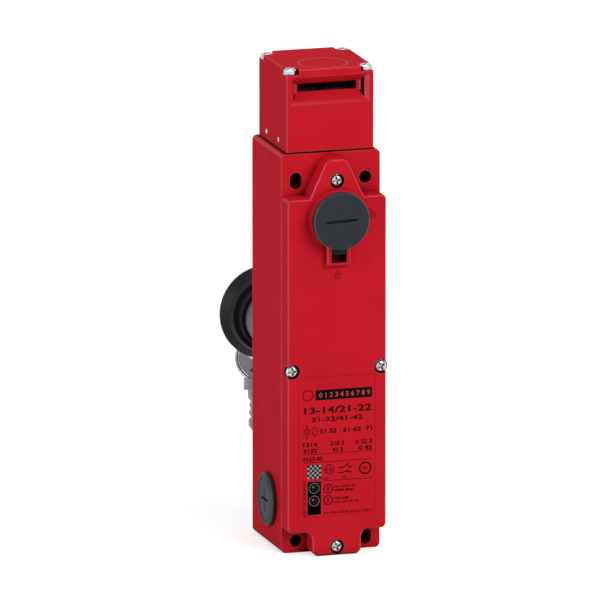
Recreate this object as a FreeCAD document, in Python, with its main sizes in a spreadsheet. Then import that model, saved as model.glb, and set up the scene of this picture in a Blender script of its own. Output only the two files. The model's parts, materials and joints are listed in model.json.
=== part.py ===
"""Guard-locking safety switch for a tongue actuator.

Frame of the part, millimetres: X to the right, Y to the rear, Z up, with the origin at the centre
of the fixing-hole pattern on the rear face. "Height" in this file is measured from the underside
of the base, and "forward" is the distance in front of the rear face.
"""
import FreeCAD, Part
import math
import os
import Sketcher

DOC = FreeCAD.newDocument("TongueInterlockSwitch")
PLACE = FreeCAD.Placement
TURN = FreeCAD.Rotation
VEC = FreeCAD.Vector

# alias, value, meaning
SIZES = [
    ("body_width", 42.7, "width of base and cover"),
    ("base_depth", 41.6, "rear face to the joint with the cover"),
    ("base_height", 169.5, "underside to the joint with the head"),
    ("wall", 3.0, "wall of the cast base"),
    ("corner_round", 2.0, "rounding of the outer corners"),
    ("edge_round", 0.9, "rounding of the front edges"),
    ("floor_height", 13.0, "top of the solid foot of the base"),
    ("cavity_top", 5.5, "top of the wiring space, above the release axis"),
    ("hole_pitch_x", 30.0, "fixing holes, side to side"),
    ("hole_pitch_z", 153.0, "fixing holes, low to high"),
    ("hole_low", 5.0, "height of the lower fixing holes"),
    ("hole_radius", 2.65, "fixing hole for an M5 screw"),
    ("slot_length", 7.2, "fixing slot, end to end"),
    ("entry_radius", 9.25, "core radius of the M20 cable entries"),
    ("entry_forward", 21.0, "axis of the bottom entry, from the rear face"),
    ("side_entry_forward", 24.2, "axis of the side entries, from the rear face"),
    ("side_entry_height", 19.5, "height of the side entries"),
    ("entry_boss_radius", 11.6, "boss round a side entry, inside"),
    ("entry_boss_depth", 5.9, "outer face to the inner end of that boss"),
    ("cover_depth", 9.4, "joint to the front face of the cover"),
    ("cover_wall", 2.9, "front wall of the cover"),
    ("cover_low", 10.4, "height at which the full width of the cover starts"),
    ("cover_high", 8.6, "end of the full width, above the release axis"),
    ("top_tab_root", 11.7, "half width of the top tab at its root"),
    ("top_tab_tip", 4.2, "half width of the top tab at its tip"),
    ("top_tab_height", 24.8, "height of that tip above the release axis"),
    ("bottom_tab_half", 10.5, "half width of the bottom tab"),
    ("bottom_tab_chamfer", 1.8, "corner cut of the bottom tab"),
    ("tab_fillet", 3.6, "hollow rounding at the roots of the bottom tab"),
    ("top_screw_height", 15.7, "cover screw in the top tab, above the release axis"),
    ("bottom_screw_height", 3.6, "cover screw in the bottom tab"),
    ("side_screw_height", 79.2, "cover screws at the sides"),
    ("side_screw_x", 19.2, "their distance from the centre"),
    ("cover_screw_head", 2.7, "head radius"),
    ("side_screw_head", 2.55, "head radius of the side screws"),
    ("screw_recess", 3.15, "radius of the recess round a head"),
    ("screw_recess_depth", 2.6, "depth of that recess"),
    ("screw_head_height", 2.2, "thickness of a head"),
    ("screw_shank", 1.6, "radius of a cover screw"),
    ("screw_grip", 7.0, "length of a cover screw in the base"),
    ("screw_slot", 0.7, "width of a driver slot"),
    ("release_height", 26.0, "axis of the front release, below the joint with the head"),
    ("release_radius", 12.1, "radius of the release disc"),
    ("release_thick", 2.0, "thickness of the release disc"),
    ("release_boss_radius", 12.5, "radius of the boss behind the disc"),
    ("release_boss_depth", 4.9, "how far that boss stands out of the cover"),
    ("release_gap", 0.2, "running gap behind the disc"),
    ("release_slot_length", 13.0, "driver slot of the disc, end to end"),
    ("release_slot_width", 0.9, "its width"),
    ("spindle_radius", 3.9, "release spindle"),
    ("running_gap", 0.08, "radial clearance of shafts and guided rods"),
    ("free_gap", 0.3, "clearance between parts that only pass each other"),
    ("crank_throw", 4.0, "eccentricity of the crank pin"),
    ("crank_pin_radius", 1.0, "crank pin"),
    ("crank_thick", 2.0, "crank web"),
    ("lug_block_half", 5.2, "half width of the seal block under the release"),
    ("lug_block_low", 19.8, "its lower edge, below the release axis"),
    ("lug_block_depth", 3.0, "how far it stands out of the cover"),
    ("lug_pocket_half", 3.4, "half width of its pocket"),
    ("lug_pocket_low", 18.4, "its floor, below the release axis"),
    ("lug_pocket_depth", 4.6, "depth of the pocket from the block face"),
    ("lug_half", 3.1, "half width of the seal lug"),
    ("lug_low", 14.9, "its lower edge, below the release axis"),
    ("window_centre_x", -9.92, "centre of the indicator window"),
    ("window_width", 5.9, "indicator window"),
    ("window_low", 17.8, "height of its lower edge"),
    ("window_high", 32.1, "height of its upper edge"),
    ("window_thick", 1.6, "indicator window plate"),
    ("lens_radius", 2.2, "indicator lens"),
    ("green_height", 2.9, "upper lens, below the upper edge of the window"),
    ("red_height", 5.4, "lower lens, below the upper one"),
    ("fit_gap", 0.05, "clearance of parts that are pressed or screwed in place"),
    ("head_width", 37.8, "head, side to side"),
    ("head_depth", 39.9, "head, front to rear"),
    ("head_rear", 1.3, "rear face of the head in front of the rear face of the base"),
    ("head_top", 34.8, "top face of the head, above its underside"),
    ("head_seal", 0.7, "thickness of the seal under the head"),
    ("head_round", 0.8, "rounding of the head's upright edges"),
    ("head_top_round", 0.7, "rounding round the top face of the head"),
    ("head_cavity_half", 2.1, "space for the cam wheel, beyond each end of the wheel"),
    ("head_cavity_rear", 0.5, "that space, behind the wheel"),
    ("head_cavity_front", 1.0, "that space, in front of the wheel"),
    ("head_cavity_top", 4.4, "roof above that space"),
    ("funnel_half", 16.8, "half width of the mouth of the entry"),
    ("funnel_low", 15.0, "its lower lip, below the top face"),
    ("funnel_high", 3.4, "its upper lip, below the top face"),
    ("funnel_depth", 5.0, "depth of the funnel"),
    ("funnel_side", 14.9, "half width behind the bevels at its sides"),
    ("funnel_bevel", 2.4, "depth of those bevels"),
    ("funnel_round", 1.8, "hollow rounding beside the throat"),
    ("throat_half", 12.9, "half width of the throat"),
    ("throat_low", 10.5, "its lower edge, below the top face"),
    ("throat_high", 7.0, "its upper edge, below the top face"),
    ("head_screw_inset", 16.3, "head screws from the centre of the head, both ways"),
    ("head_screw_head", 2.75, "radius of their heads"),
    ("head_screw_shank", 1.95, "radius of their shanks"),
    ("head_screw_bite", 6.0, "their length in the base"),
    ("notch_depth", 2.4, "depth of the corner notches under those heads"),
    ("notch_radius", 3.15, "radius of the notch round a head"),
    ("top_plug_radius", 10.1, "disc that closes the top entry"),
    ("top_plug_forward", 30.6, "its centre, from the rear face"),
    ("top_plug_thick", 1.4, "its thickness"),
    ("pin_radius", 1.0, "guide pins of the head"),
    ("pin_height", 3.2, "their height above the underside of the head"),
    ("pin_rear", 12.4, "rear pin, from the rear face"),
    ("pin_front", 29.4, "front pin, from the rear face"),
    ("pin_length", 5.0, "their length"),
    ("cam_forward", 20.6, "cam axle, from the rear face"),
    ("cam_height", 14.0, "cam axle, above the underside of the head"),
    ("cam_radius", 12.4, "cam wheel"),
    ("cam_half", 11.4, "half length of the cam wheel"),
    ("cam_flat", 9.1, "least radius of the switching cam"),
    ("cam_groove_half", 2.2, "half width of the groove between the two cams"),
    ("cam_groove_radius", 8.0, "radius at the bottom of that groove"),
    ("cam_slot_width", 4.4, "pocket that the tongue turns the wheel by"),
    ("cam_slot_depth", 4.0, "depth of that pocket"),
    ("axle_radius", 2.5, "cam axle"),
    ("plunger_x", 7.0, "plunger and bolt, from the centre"),
    ("plunger_radius", 2.4, "switching plunger"),
    ("plunger_low", 4.5, "lower end of the plunger rod, below the release axis"),
    ("carrier_half", 3.4, "half width of the contact carrier"),
    ("carrier_low", 17.0, "contact carrier, below the plunger rod"),
    ("bolt_radius", 2.9, "locking bolt"),
    ("bolt_low", 12.5, "lower end of the bolt rod, below the release axis"),
    ("yoke_half_height", 4.0, "half height of the yoke plate"),
    ("yoke_thick", 3.4, "yoke plate, front to rear"),
    ("yoke_forward", 32.0, "rear side of the yoke plate"),
    ("armature_radius", 3.5, "solenoid armature"),
    ("armature_low", 5.2, "lower end of the armature, above the lower end of the coil"),
    ("coil_radius", 8.6, "solenoid coil"),
    ("coil_low", 5.8, "lower end of the coil, above the button nut"),
    ("coil_high", 5.2, "upper end of the coil, below the bolt rod"),
    ("frame_sheet", 1.6, "sheet of the solenoid frame"),
    ("block_low", 2.7, "upper contact block, above the button nut"),
    ("block_high", 4.0, "its top, below the contact carrier"),
    ("block_depth", 28.0, "front to rear size of the contact blocks"),
    ("lower_block_low", 4.0, "lower contact blocks, above the terminal block"),
    ("lower_block_high", 2.6, "their top, below the button nut"),
    ("terminal_low", 30.0, "terminal block"),
    ("terminal_high", 11.0, "its top, above its lower end"),
    ("terminal_depth", 14.0, "its size front to rear"),
    ("plug_flange_radius", 11.2, "blanking plug flange"),
    ("plug_flange_thick", 1.5, "its thickness"),
    ("plug_seal_thick", 0.6, "seal under that flange"),
    ("plug_shank", 5.6, "length of the plug in the wall"),
    ("button_height", 81.2, "height of the rear button's axis"),
    ("sleeve_radius", 12.4, "guide sleeve of the rear button"),
    ("sleeve_length", 46.0, "rear face to the end of the sleeve"),
    ("sleeve_flange", 14.5, "radius of the sleeve's flange"),
    ("sleeve_flange_thick", 2.0, "its thickness"),
    ("neck_radius", 9.8, "threaded neck of the sleeve"),
    ("neck_length", 8.0, "neck, from the rear face inward"),
    ("nut_radius", 12.6, "nut on the neck, across corners"),
    ("nut_thick", 3.2, "thickness of that nut"),
    ("rod_radius", 3.0, "push rod"),
    ("rod_reach", 17.0, "push rod, inward from the rear face"),
    ("sleeve_bore", 10.5, "bore for the button's inner tube"),
    ("sleeve_bore_depth", 0.9, "its depth beyond the tube at full travel"),
    ("button_travel", 4.0, "travel of the rear button"),
    ("button_stop", 0.96, "space left between sleeve and mushroom at full travel"),
    ("button_radius", 20.0, "mushroom button"),
    ("button_rim", 5.4, "rim of the mushroom, beyond the end of the sleeve"),
    ("button_collar_radius", 13.9, "narrow collar of the mushroom"),
    ("button_collar", 5.4, "how far that collar reaches back over the sleeve"),
    ("button_shoulder_radius", 16.0, "wide collar of the mushroom"),
    ("button_step", 1.0, "step from that collar to the flare"),
    ("button_shoulder", 0.4, "how far that collar reaches back over the sleeve"),
    ("button_edge", 0.5, "bevel behind the rim"),
    ("button_flare", 2.5, "collar to the flare of the mushroom"),
    ("button_land", 1.2, "height of the rim"),
    ("button_crown", 4.0, "width of each step of the crowned face"),
    ("button_face", 4.4, "face of the mushroom, beyond its rim"),
    ("button_tube", 10.2, "inner tube of the mushroom"),
    ("button_tube_end", 1.7, "wall of that tube under the lock barrel"),
    ("barrel_radius", 8.2, "lock barrel"),
    ("barrel_length", 19.2, "lock barrel"),
    ("barrel_proud", 0.5, "how far the barrel stands out of the mushroom"),
    ("keyway_width", 9.2, "keyway of the barrel"),
    ("keyway_thick", 2.7, "keyway of the barrel"),
    ("keyway_depth", 18.0, "its depth"),
    ("key_bow_radius", 11.0, "round bow of the keys"),
    ("key_thick", 2.6, "sheet of the keys"),
    ("key_rim", 0.9, "width of the raised edge of the bow"),
    ("key_rim_height", 0.25, "height of that edge, each side"),
    ("key_hole_radius", 7.1, "half-moon hole in the bow"),
    ("key_hole_centre", 5.1, "centre of that radius, from the bow's centre"),
    ("key_hole_high", 6.2, "straight far edge of the hole, from the bow's centre"),
    ("key_hole_round", 1.2, "rounding of the hole's corners"),
    ("key_neck_half", 5.75, "half width of the key's shoulder"),
    ("key_neck_end", 14.1, "end of the shoulder, from the bow's centre"),
    ("key_blade_half", 4.4, "half width of the blade"),
    ("key_blade_thick", 2.3, "thickness of the blade"),
    ("key_blade_end", 32.2, "tip of the blade, from the bow's centre"),
    ("key_cut", 1.0, "unit of depth of the cuts in the blade"),
    ("key_bow_gap", 0.4, "gap between shoulder and barrel"),
    ("ring_radius", 11.7, "key ring, middle of the wire"),
    ("ring_wire", 0.75, "key ring wire radius"),
    ("ring_turn", 38.5, "turn of the ring's plane about the vertical, from the lock's axis"),
    ("spare_key_turn", 16.9, "turn of the spare key about the vertical"),
]


class Size:
    """A number of the sheet, with the expression that keeps a property bound to it."""

    def __init__(self, value, text):
        self.value = float(value)
        self.text = text

    def __add__(self, other):
        other = as_size(other)
        return Size(self.value + other.value, f"({self.text} + {other.text})")

    def __sub__(self, other):
        other = as_size(other)
        return Size(self.value - other.value, f"({self.text} - {other.text})")

    def __mul__(self, other):
        other = as_size(other)
        return Size(self.value * other.value, f"({self.text} * {other.text})")

    def __truediv__(self, other):
        other = as_size(other)
        return Size(self.value / other.value, f"({self.text} / {other.text})")

    def __radd__(self, other):
        return as_size(other) + self

    def __rsub__(self, other):
        return as_size(other) - self

    def __rmul__(self, other):
        return as_size(other) * self

    def __neg__(self):
        return as_size(0) - self


def as_size(number):
    """A plain number as a Size."""
    return number if isinstance(number, Size) else Size(number, f"({float(number):.6f})")


class Sheet:
    """The size sheet: sheet.wall is the Size of the cell with the alias wall."""

    def __init__(self):
        self.cells = DOC.addObject("Spreadsheet::Sheet", "Sizes")
        self.numbers = {}
        for row, (alias, value, meaning) in enumerate(SIZES, start=1):
            self.cells.set(f"A{row}", alias)
            self.cells.set(f"B{row}", str(value))
            self.cells.set(f"C{row}", meaning)
            self.cells.setAlias(f"B{row}", alias)
            self.numbers[alias] = value
        DOC.recompute()

    def __getattr__(self, alias):
        return Size(self.numbers[alias], f"Sizes.{alias}")


def bind(owner, prop, size):
    """Bind a property to a Size."""
    owner.setExpression(prop, as_size(size).text)


# ---------------------------------------------------------------- outlines of sketches

def lines(sketch, points):
    """Closed outline through the points, each coordinate bound."""
    start = sketch.GeometryCount
    spots = [VEC(as_size(x).value, as_size(y).value, 0) for x, y in points]
    count = len(points)
    for i in range(count):
        sketch.addGeometry(Part.LineSegment(spots[i], spots[(i + 1) % count]), False)
    for i in range(count):
        after = start + (i + 1) % count
        sketch.addConstraint(Sketcher.Constraint("Coincident", start + i, 2, after, 1))
    for i, (x, y) in enumerate(points):
        pin_down(sketch, start + i, 1, x, y)


def pin_down(sketch, geometry, spot, x, y):
    """Bind a point of the sketch to its coordinates."""
    for kind, place in (("DistanceX", x), ("DistanceY", y)):
        place = as_size(place)
        row = sketch.addConstraint(Sketcher.Constraint(kind, -1, 1, geometry, spot, place.value))
        bind(sketch, f"Constraints[{row}]", place)


def polygon(points):
    return lambda sketch: lines(sketch, points)


def rectangle(x_low, y_low, x_high, y_high):
    return polygon([(x_low, y_low), (x_high, y_low), (x_high, y_high), (x_low, y_high)])


def circle(x, y, radius):
    def draw(sketch):
        size = as_size(radius)
        ring = Part.Circle(VEC(as_size(x).value, as_size(y).value, 0), VEC(0, 0, 1), size.value)
        geometry = sketch.addGeometry(ring, False)
        row = sketch.addConstraint(Sketcher.Constraint("Radius", geometry, size.value))
        bind(sketch, f"Constraints[{row}]", size)
        pin_down(sketch, geometry, 3, x, y)
    return draw


def upright_slot(x, y, radius, length):
    """Slot with round ends that runs along the sketch's second axis."""
    def draw(sketch):
        reach = as_size(length) / 2 - radius
        middle = VEC(as_size(x).value, as_size(y).value, 0)
        size = as_size(radius)
        side = VEC(size.value, 0, 0)
        rise = VEC(0, reach.value, 0)
        upper = Part.Circle(middle + rise, VEC(0, 0, 1), size.value)
        lower = Part.Circle(middle - rise, VEC(0, 0, 1), size.value)
        top = sketch.addGeometry(Part.ArcOfCircle(upper, 0, math.pi), False)
        left = sketch.addGeometry(Part.LineSegment(middle + rise - side, middle - rise - side), False)
        bottom = sketch.addGeometry(Part.ArcOfCircle(lower, math.pi, 2 * math.pi), False)
        right = sketch.addGeometry(Part.LineSegment(middle - rise + side, middle + rise + side), False)
        for before, after in ((top, left), (left, bottom), (bottom, right), (right, top)):
            sketch.addConstraint(Sketcher.Constraint("Tangent", before, 2, after, 1))
        row = sketch.addConstraint(Sketcher.Constraint("Radius", top, size.value))
        bind(sketch, f"Constraints[{row}]", size)
        pin_down(sketch, top, 3, x, y + reach)
        pin_down(sketch, bottom, 3, x, y - reach)
    return draw


def half_moon(centre, radius, chord):
    """Round hole on the second axis, cut off straight at chord."""
    def draw(sketch):
        middle, size, cut = as_size(centre), as_size(radius), as_size(chord)
        reach = math.sqrt(size.value ** 2 - (cut.value - middle.value) ** 2)
        lift = math.atan2(cut.value - middle.value, reach)
        ring = Part.Circle(VEC(0, middle.value, 0), VEC(0, 0, 1), size.value)
        arc = sketch.addGeometry(Part.ArcOfCircle(ring, math.pi - lift, 2 * math.pi + lift), False)
        ends = (VEC(reach, cut.value, 0), VEC(-reach, cut.value, 0))
        line = sketch.addGeometry(Part.LineSegment(*ends), False)
        sketch.addConstraint(Sketcher.Constraint("Coincident", arc, 2, line, 1))
        sketch.addConstraint(Sketcher.Constraint("Coincident", line, 2, arc, 1))
        sketch.addConstraint(Sketcher.Constraint("Horizontal", line))
        row = sketch.addConstraint(Sketcher.Constraint("Radius", arc, size.value))
        bind(sketch, f"Constraints[{row}]", size)
        pin_down(sketch, arc, 3, 0, middle)
        row = sketch.addConstraint(Sketcher.Constraint("DistanceY", -1, 1, line, 1, cut.value))
        bind(sketch, f"Constraints[{row}]", cut)
    return draw


# ---------------------------------------------------------------- sub-parts

FACINGS = {
    "up": TURN(),
    "front": TURN(VEC(1, 0, 0), 90),
    "rear": TURN(VEC(1, 0, 0), -90),
    "left": TURN(VEC(0, 1, 0), -90),
    "right": TURN(VEC(0, 1, 0), 90),
}
PIECES = []


class Piece:
    """A sub-part: a PartDesign body whose own Z axis faces up, front, rear, left or right.

    A front-facing body has X to the right, Y up and Z forward. Its origin lies at x, forward
    and height of the whole part.
    """

    def __init__(self, node, x=0, forward=0, height=0, facing="front"):
        self.body = DOC.addObject("PartDesign::Body", node)
        self.body.Label = node
        self.body.AllowCompound = True
        self.body.Placement = PLACE(VEC(), FACINGS[facing])
        bind(self.body, "Placement.Base.x", x)
        bind(self.body, "Placement.Base.y", -as_size(forward))
        bind(self.body, "Placement.Base.z", as_size(height) - MOUNT_HEIGHT)
        self.planes = {f.Role: f for f in self.body.Origin.OriginFeatures}
        PIECES.append(self.body)

    def sketch(self, outlines, plane="XY", offset=0):
        """Sketch on an origin plane, moved along the plane's normal by offset."""
        sketch = self.body.newObject("Sketcher::SketchObject", "Sketch")
        sketch.AttachmentSupport = [(self.planes[plane + "_Plane"], "")]
        sketch.MapMode = "FlatFace"
        bind(sketch, "AttachmentOffset.Base.z", offset)
        for outline in outlines:
            outline(sketch)
        return sketch

    def feature(self, kind, sketch, **bound):
        feature = self.body.newObject("PartDesign::" + kind, kind)
        feature.Profile = sketch
        for prop, size in bound.items():
            bind(feature, prop, size)
        return feature

    def pad(self, outlines, length, plane="XY", offset=0, against=False):
        """Pad along the plane's normal, or against it."""
        feature = self.feature("Pad", self.sketch(outlines, plane, offset), Length=length)
        feature.Reversed = against
        DOC.recompute()
        return self

    def pocket(self, outlines, depth, plane="XY", offset=0, against=False):
        """Pocket that starts at offset and goes down against the normal, or along it."""
        before = self.body.Shape.Volume
        feature = self.feature("Pocket", self.sketch(outlines, plane, offset), Length=depth)
        feature.Reversed = against
        DOC.recompute()
        if self.body.Shape.Volume > before - 1e-6:
            raise RuntimeError(f"{self.body.Label}: a pocket cuts nothing")
        return self

    def revolve(self, points):
        """Solid of revolution about the body's Z axis through (radius, z) points."""
        sketch = self.sketch([polygon(points)], "XZ")
        feature = self.body.newObject("PartDesign::Revolution", "Revolution")
        feature.Profile = sketch
        feature.ReferenceAxis = (sketch, ["V_Axis"])
        feature.Angle = 360
        DOC.recompute()
        return self

    def funnel(self, stages):
        """Tapered pocket through (outline, offset) stages, each deeper than the one before."""
        feature = self.body.newObject("PartDesign::SubtractiveLoft", "Funnel")
        first, *deeper = [self.sketch([outline], "XY", offset) for outline, offset in stages]
        feature.Profile = first
        feature.Sections = deeper
        feature.Ruled = True
        DOC.recompute()
        return self

    def soften(self, kind, size, wanted):
        """Fillet or chamfer on the edges for which wanted(edge) holds."""
        DOC.recompute()
        names = [f"Edge{i}" for i, edge in enumerate(self.body.Shape.Edges, start=1)
                 if wanted(self.own(edge))]
        base = self.body.Tip
        feature = self.body.newObject("PartDesign::" + kind, kind)
        feature.Base = (base, names)
        bind(feature, "Radius" if kind == "Fillet" else "Size", size)
        DOC.recompute()
        if "Invalid" in feature.State:
            raise RuntimeError(f"{self.body.Label}: {kind} of {size.text} failed on {len(names)} edges")
        return self

    def own(self, edge):
        """An edge of the placed body, in the body's own frame."""
        copy = edge.copy()
        copy.Placement = self.body.Placement.inverse().multiply(copy.Placement)
        return copy


def is_level(edge, z):
    """The edge lies in the plane of that z in the body's own frame."""
    box = edge.BoundBox
    return abs(box.ZMin - z) < 1e-4 and abs(box.ZMax - z) < 1e-4


def runs_along(edge, axis):
    """The edge is straight and runs along one axis: 0 for X, 1 for Y, 2 for Z."""
    box = edge.BoundBox
    spans = (box.XLength, box.YLength, box.ZLength)
    return all(span > 1e-4 if i == axis else span < 1e-4 for i, span in enumerate(spans))


S = Sheet()
MOUNT_HEIGHT = S.hole_low + S.hole_pitch_z / 2
HOLE_HIGH = S.hole_low + S.hole_pitch_z
HALF_WIDTH = S.body_width / 2
COVER_FRONT = S.base_depth + S.cover_depth
RELEASE_AXIS = S.base_height - S.release_height
CAVITY_TOP = RELEASE_AXIS + S.cavity_top
BOLT_LOW = RELEASE_AXIS - S.bolt_low
PLUNGER_LOW = RELEASE_AXIS - S.plunger_low
CARRIER_LOW = PLUNGER_LOW - S.carrier_low
NUT_LOW, NUT_TOP = S.button_height - S.nut_radius, S.button_height + S.nut_radius
COIL_LOW, COIL_HIGH = NUT_TOP + S.coil_low, BOLT_LOW - S.coil_high
HEAD_LOW = S.base_height + S.head_seal
HEAD_TOP = HEAD_LOW + S.head_top
CAM_AXIS = HEAD_LOW + S.cam_height
CAM_SPACE_HALF = S.cam_half + S.head_cavity_half
CAM_SPACE_REAR = S.cam_forward - S.cam_radius - S.head_cavity_rear - S.head_rear
CAM_SPACE_FRONT = S.cam_forward + S.cam_radius + S.head_cavity_front - S.head_rear
MUSHROOM_RIM = S.sleeve_length + S.button_rim
MUSHROOM_FACE = MUSHROOM_RIM + S.button_face
LOCK_END = MUSHROOM_FACE + S.barrel_proud - S.barrel_length
TUBE_END = LOCK_END - S.button_tube_end
HEAD_MIDDLE = S.head_rear + S.head_depth / 2
HEAD_SCREWS = [(side * S.head_screw_inset, HEAD_MIDDLE + way * S.head_screw_inset)
               for side in (-1, 1) for way in (-1, 1)]
SIDES = (-1, 1)


def base_housing():
    """Cast base: open to the front, with solid ends that carry the screws and the fixing holes."""
    piece = Piece("base_housing")
    piece.pad([rectangle(-HALF_WIDTH, 0, HALF_WIDTH, S.base_height)], S.base_depth)
    piece.soften("Fillet", S.corner_round, lambda edge: runs_along(edge, 2))
    inner = HALF_WIDTH - S.wall
    piece.pocket([rectangle(-inner, S.floor_height, inner, CAVITY_TOP)],
                 S.base_depth - S.wall, offset=S.base_depth)
    boss = S.screw_shank + S.wall / 2
    for side in SIDES:
        piece.pad([rectangle(side * (S.side_screw_x - boss), S.side_screw_height - boss,
                             side * (inner + S.fit_gap), S.side_screw_height + boss)],
                  S.base_depth - S.wall, offset=S.wall)
        piece.pad([circle(S.side_entry_height, S.side_entry_forward, S.entry_boss_radius)],
                  S.entry_boss_depth - S.wall / 2, "YZ", side * (HALF_WIDTH - S.wall / 2), side > 0)
        piece.pocket([circle(S.side_entry_height, S.side_entry_forward, S.entry_radius)],
                     S.entry_boss_depth + 1, "YZ", side * HALF_WIDTH, side < 0)
    piece.pocket([circle(S.hole_pitch_x / 2, HOLE_HIGH, S.hole_radius),
                  circle(-S.hole_pitch_x / 2, S.hole_low, S.hole_radius)],
                 S.base_depth, offset=S.base_depth)
    piece.pocket([upright_slot(-S.hole_pitch_x / 2, HOLE_HIGH, S.hole_radius, S.slot_length),
                  upright_slot(S.hole_pitch_x / 2, S.hole_low, S.hole_radius, S.slot_length)],
                 S.base_depth, offset=S.base_depth)
    piece.pocket([circle(0, S.entry_forward, S.entry_radius)], S.floor_height + 1, "XZ")
    piece.pocket([circle(-S.plunger_x, S.cam_forward, S.plunger_radius + S.running_gap),
                  circle(S.plunger_x, S.cam_forward, S.bolt_radius + S.running_gap)],
                 S.base_height - CAVITY_TOP + 1, "XZ", -S.base_height, True)
    piece.pocket([circle(x, forward, S.head_screw_shank + S.fit_gap) for x, forward in HEAD_SCREWS],
                 S.head_screw_bite + 1, "XZ", -S.base_height, True)
    piece.pocket([circle(x, height, S.screw_shank + S.fit_gap) for x, height in cover_screw_places()],
                 S.screw_grip + 1, offset=S.base_depth)
    piece.pocket([circle(0, S.button_height, S.neck_radius + S.fit_gap)], S.wall, offset=S.wall)


def cover_screw_places():
    """The four cover screws: top and bottom tab, then the sides."""
    return [(0, RELEASE_AXIS + S.top_screw_height), (0, S.bottom_screw_height),
            (-S.side_screw_x, S.side_screw_height), (S.side_screw_x, S.side_screw_height)]


def cover():
    """Cast cover with a tapered top tab, a bottom tab, the release boss and the seal block."""
    piece = Piece("cover", forward=S.base_depth)
    cut = S.bottom_tab_chamfer
    half = [(S.bottom_tab_half - cut, 0), (S.bottom_tab_half, cut),
            (S.bottom_tab_half, S.cover_low), (HALF_WIDTH, S.cover_low),
            (HALF_WIDTH, RELEASE_AXIS + S.cover_high), (S.top_tab_root, RELEASE_AXIS + S.cover_high),
            (S.top_tab_tip, RELEASE_AXIS + S.top_tab_height)]
    piece.pad([polygon(half + [(-x, y) for x, y in reversed(half)])], S.cover_depth)
    depth = S.cover_depth.value
    half_width = HALF_WIDTH.value
    tab_root, tab_tip = S.bottom_tab_half.value, S.top_tab_tip.value

    def upright_at(edge, x_values):
        at = abs(edge.BoundBox.XMin)
        return runs_along(edge, 2) and any(abs(at - x) < 1e-4 for x in x_values)

    piece.soften("Fillet", S.corner_round, lambda edge: upright_at(edge, [half_width]))
    piece.soften("Fillet", S.top_tab_tip - S.edge_round, lambda edge: upright_at(edge, [tab_tip]))
    piece.soften("Fillet", S.tab_fillet,
                 lambda edge: upright_at(edge, [tab_root]) and edge.BoundBox.YMin > cut.value + 0.1)
    piece.soften("Fillet", S.edge_round, lambda edge: is_level(edge, depth))
    inner = HALF_WIDTH - S.cover_wall
    piece.pocket([rectangle(-inner, S.floor_height + S.cover_wall, inner, CAVITY_TOP + S.free_gap)],
                 S.cover_depth - S.cover_wall, against=True)
    boss = S.screw_recess + S.fit_gap
    for side in SIDES:
        piece.pad([rectangle(side * (S.side_screw_x - boss), S.side_screw_height - boss,
                             side * (inner + S.fit_gap), S.side_screw_height + boss)],
                  S.cover_depth - S.cover_wall + S.fit_gap)
    piece.pad([circle(0, RELEASE_AXIS, S.release_boss_radius)],
              S.release_boss_depth + S.cover_wall / 2, offset=S.cover_depth - S.cover_wall / 2)
    block_low = RELEASE_AXIS - S.lug_block_low
    piece.pad([rectangle(-S.lug_block_half, block_low, S.lug_block_half, RELEASE_AXIS)],
              S.lug_block_depth + S.cover_wall / 2, offset=S.cover_depth - S.cover_wall / 2)
    block_face = depth + S.lug_block_depth.value
    low_edge = block_low.value
    piece.soften("Fillet", S.edge_round,
                 lambda edge: is_level(edge, block_face)
                 or (runs_along(edge, 2) and abs(edge.BoundBox.YMin - low_edge) < 1e-4))
    piece.pocket([rectangle(-S.lug_pocket_half, RELEASE_AXIS - S.lug_pocket_low, S.lug_pocket_half,
                            RELEASE_AXIS - S.release_radius + S.cover_wall)],
                 S.lug_pocket_depth + S.release_boss_depth - S.lug_block_depth,
                 offset=S.cover_depth + S.release_boss_depth)
    piece.pocket([circle(0, RELEASE_AXIS, S.spindle_radius + S.running_gap)],
                 S.cover_depth + S.release_boss_depth, offset=S.cover_depth + S.release_boss_depth)
    places = cover_screw_places()
    piece.pocket([circle(x, height, S.screw_recess) for x, height in places],
                 S.screw_recess_depth, offset=S.cover_depth)
    piece.pocket([circle(x, height, S.screw_shank + S.fit_gap) for x, height in places],
                 S.cover_depth, offset=S.cover_depth)
    piece.pocket([window_outline(0)], S.cover_wall, offset=S.cover_depth)


def window_outline(gap):
    """Outline of the indicator window, smaller all round by gap."""
    half = S.window_width / 2 - gap
    return rectangle(S.window_centre_x - half, S.window_low + gap,
                     S.window_centre_x + half, S.window_high - gap)


def cover_screws():
    """Four cover screws; the heads of the side ones break through the edge of the cover."""
    head_seat = COVER_FRONT - S.screw_recess_depth
    piece = Piece("cover_screws", forward=head_seat)
    places = cover_screw_places()
    radii = [S.cover_screw_head, S.cover_screw_head, S.side_screw_head, S.side_screw_head]
    piece.pad([circle(x, height, radius) for (x, height), radius in zip(places, radii)],
              S.screw_head_height)
    piece.pad([circle(x, height, S.screw_shank) for x, height in places],
              head_seat - S.base_depth + S.screw_grip, against=True)
    cross = S.cover_screw_head * 0.7
    slot = S.screw_slot / 2
    piece.pocket([rectangle(x - cross, height - slot, x + cross, height + slot)
                  for x, height in places], S.screw_head_height / 2, offset=S.screw_head_height)


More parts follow.
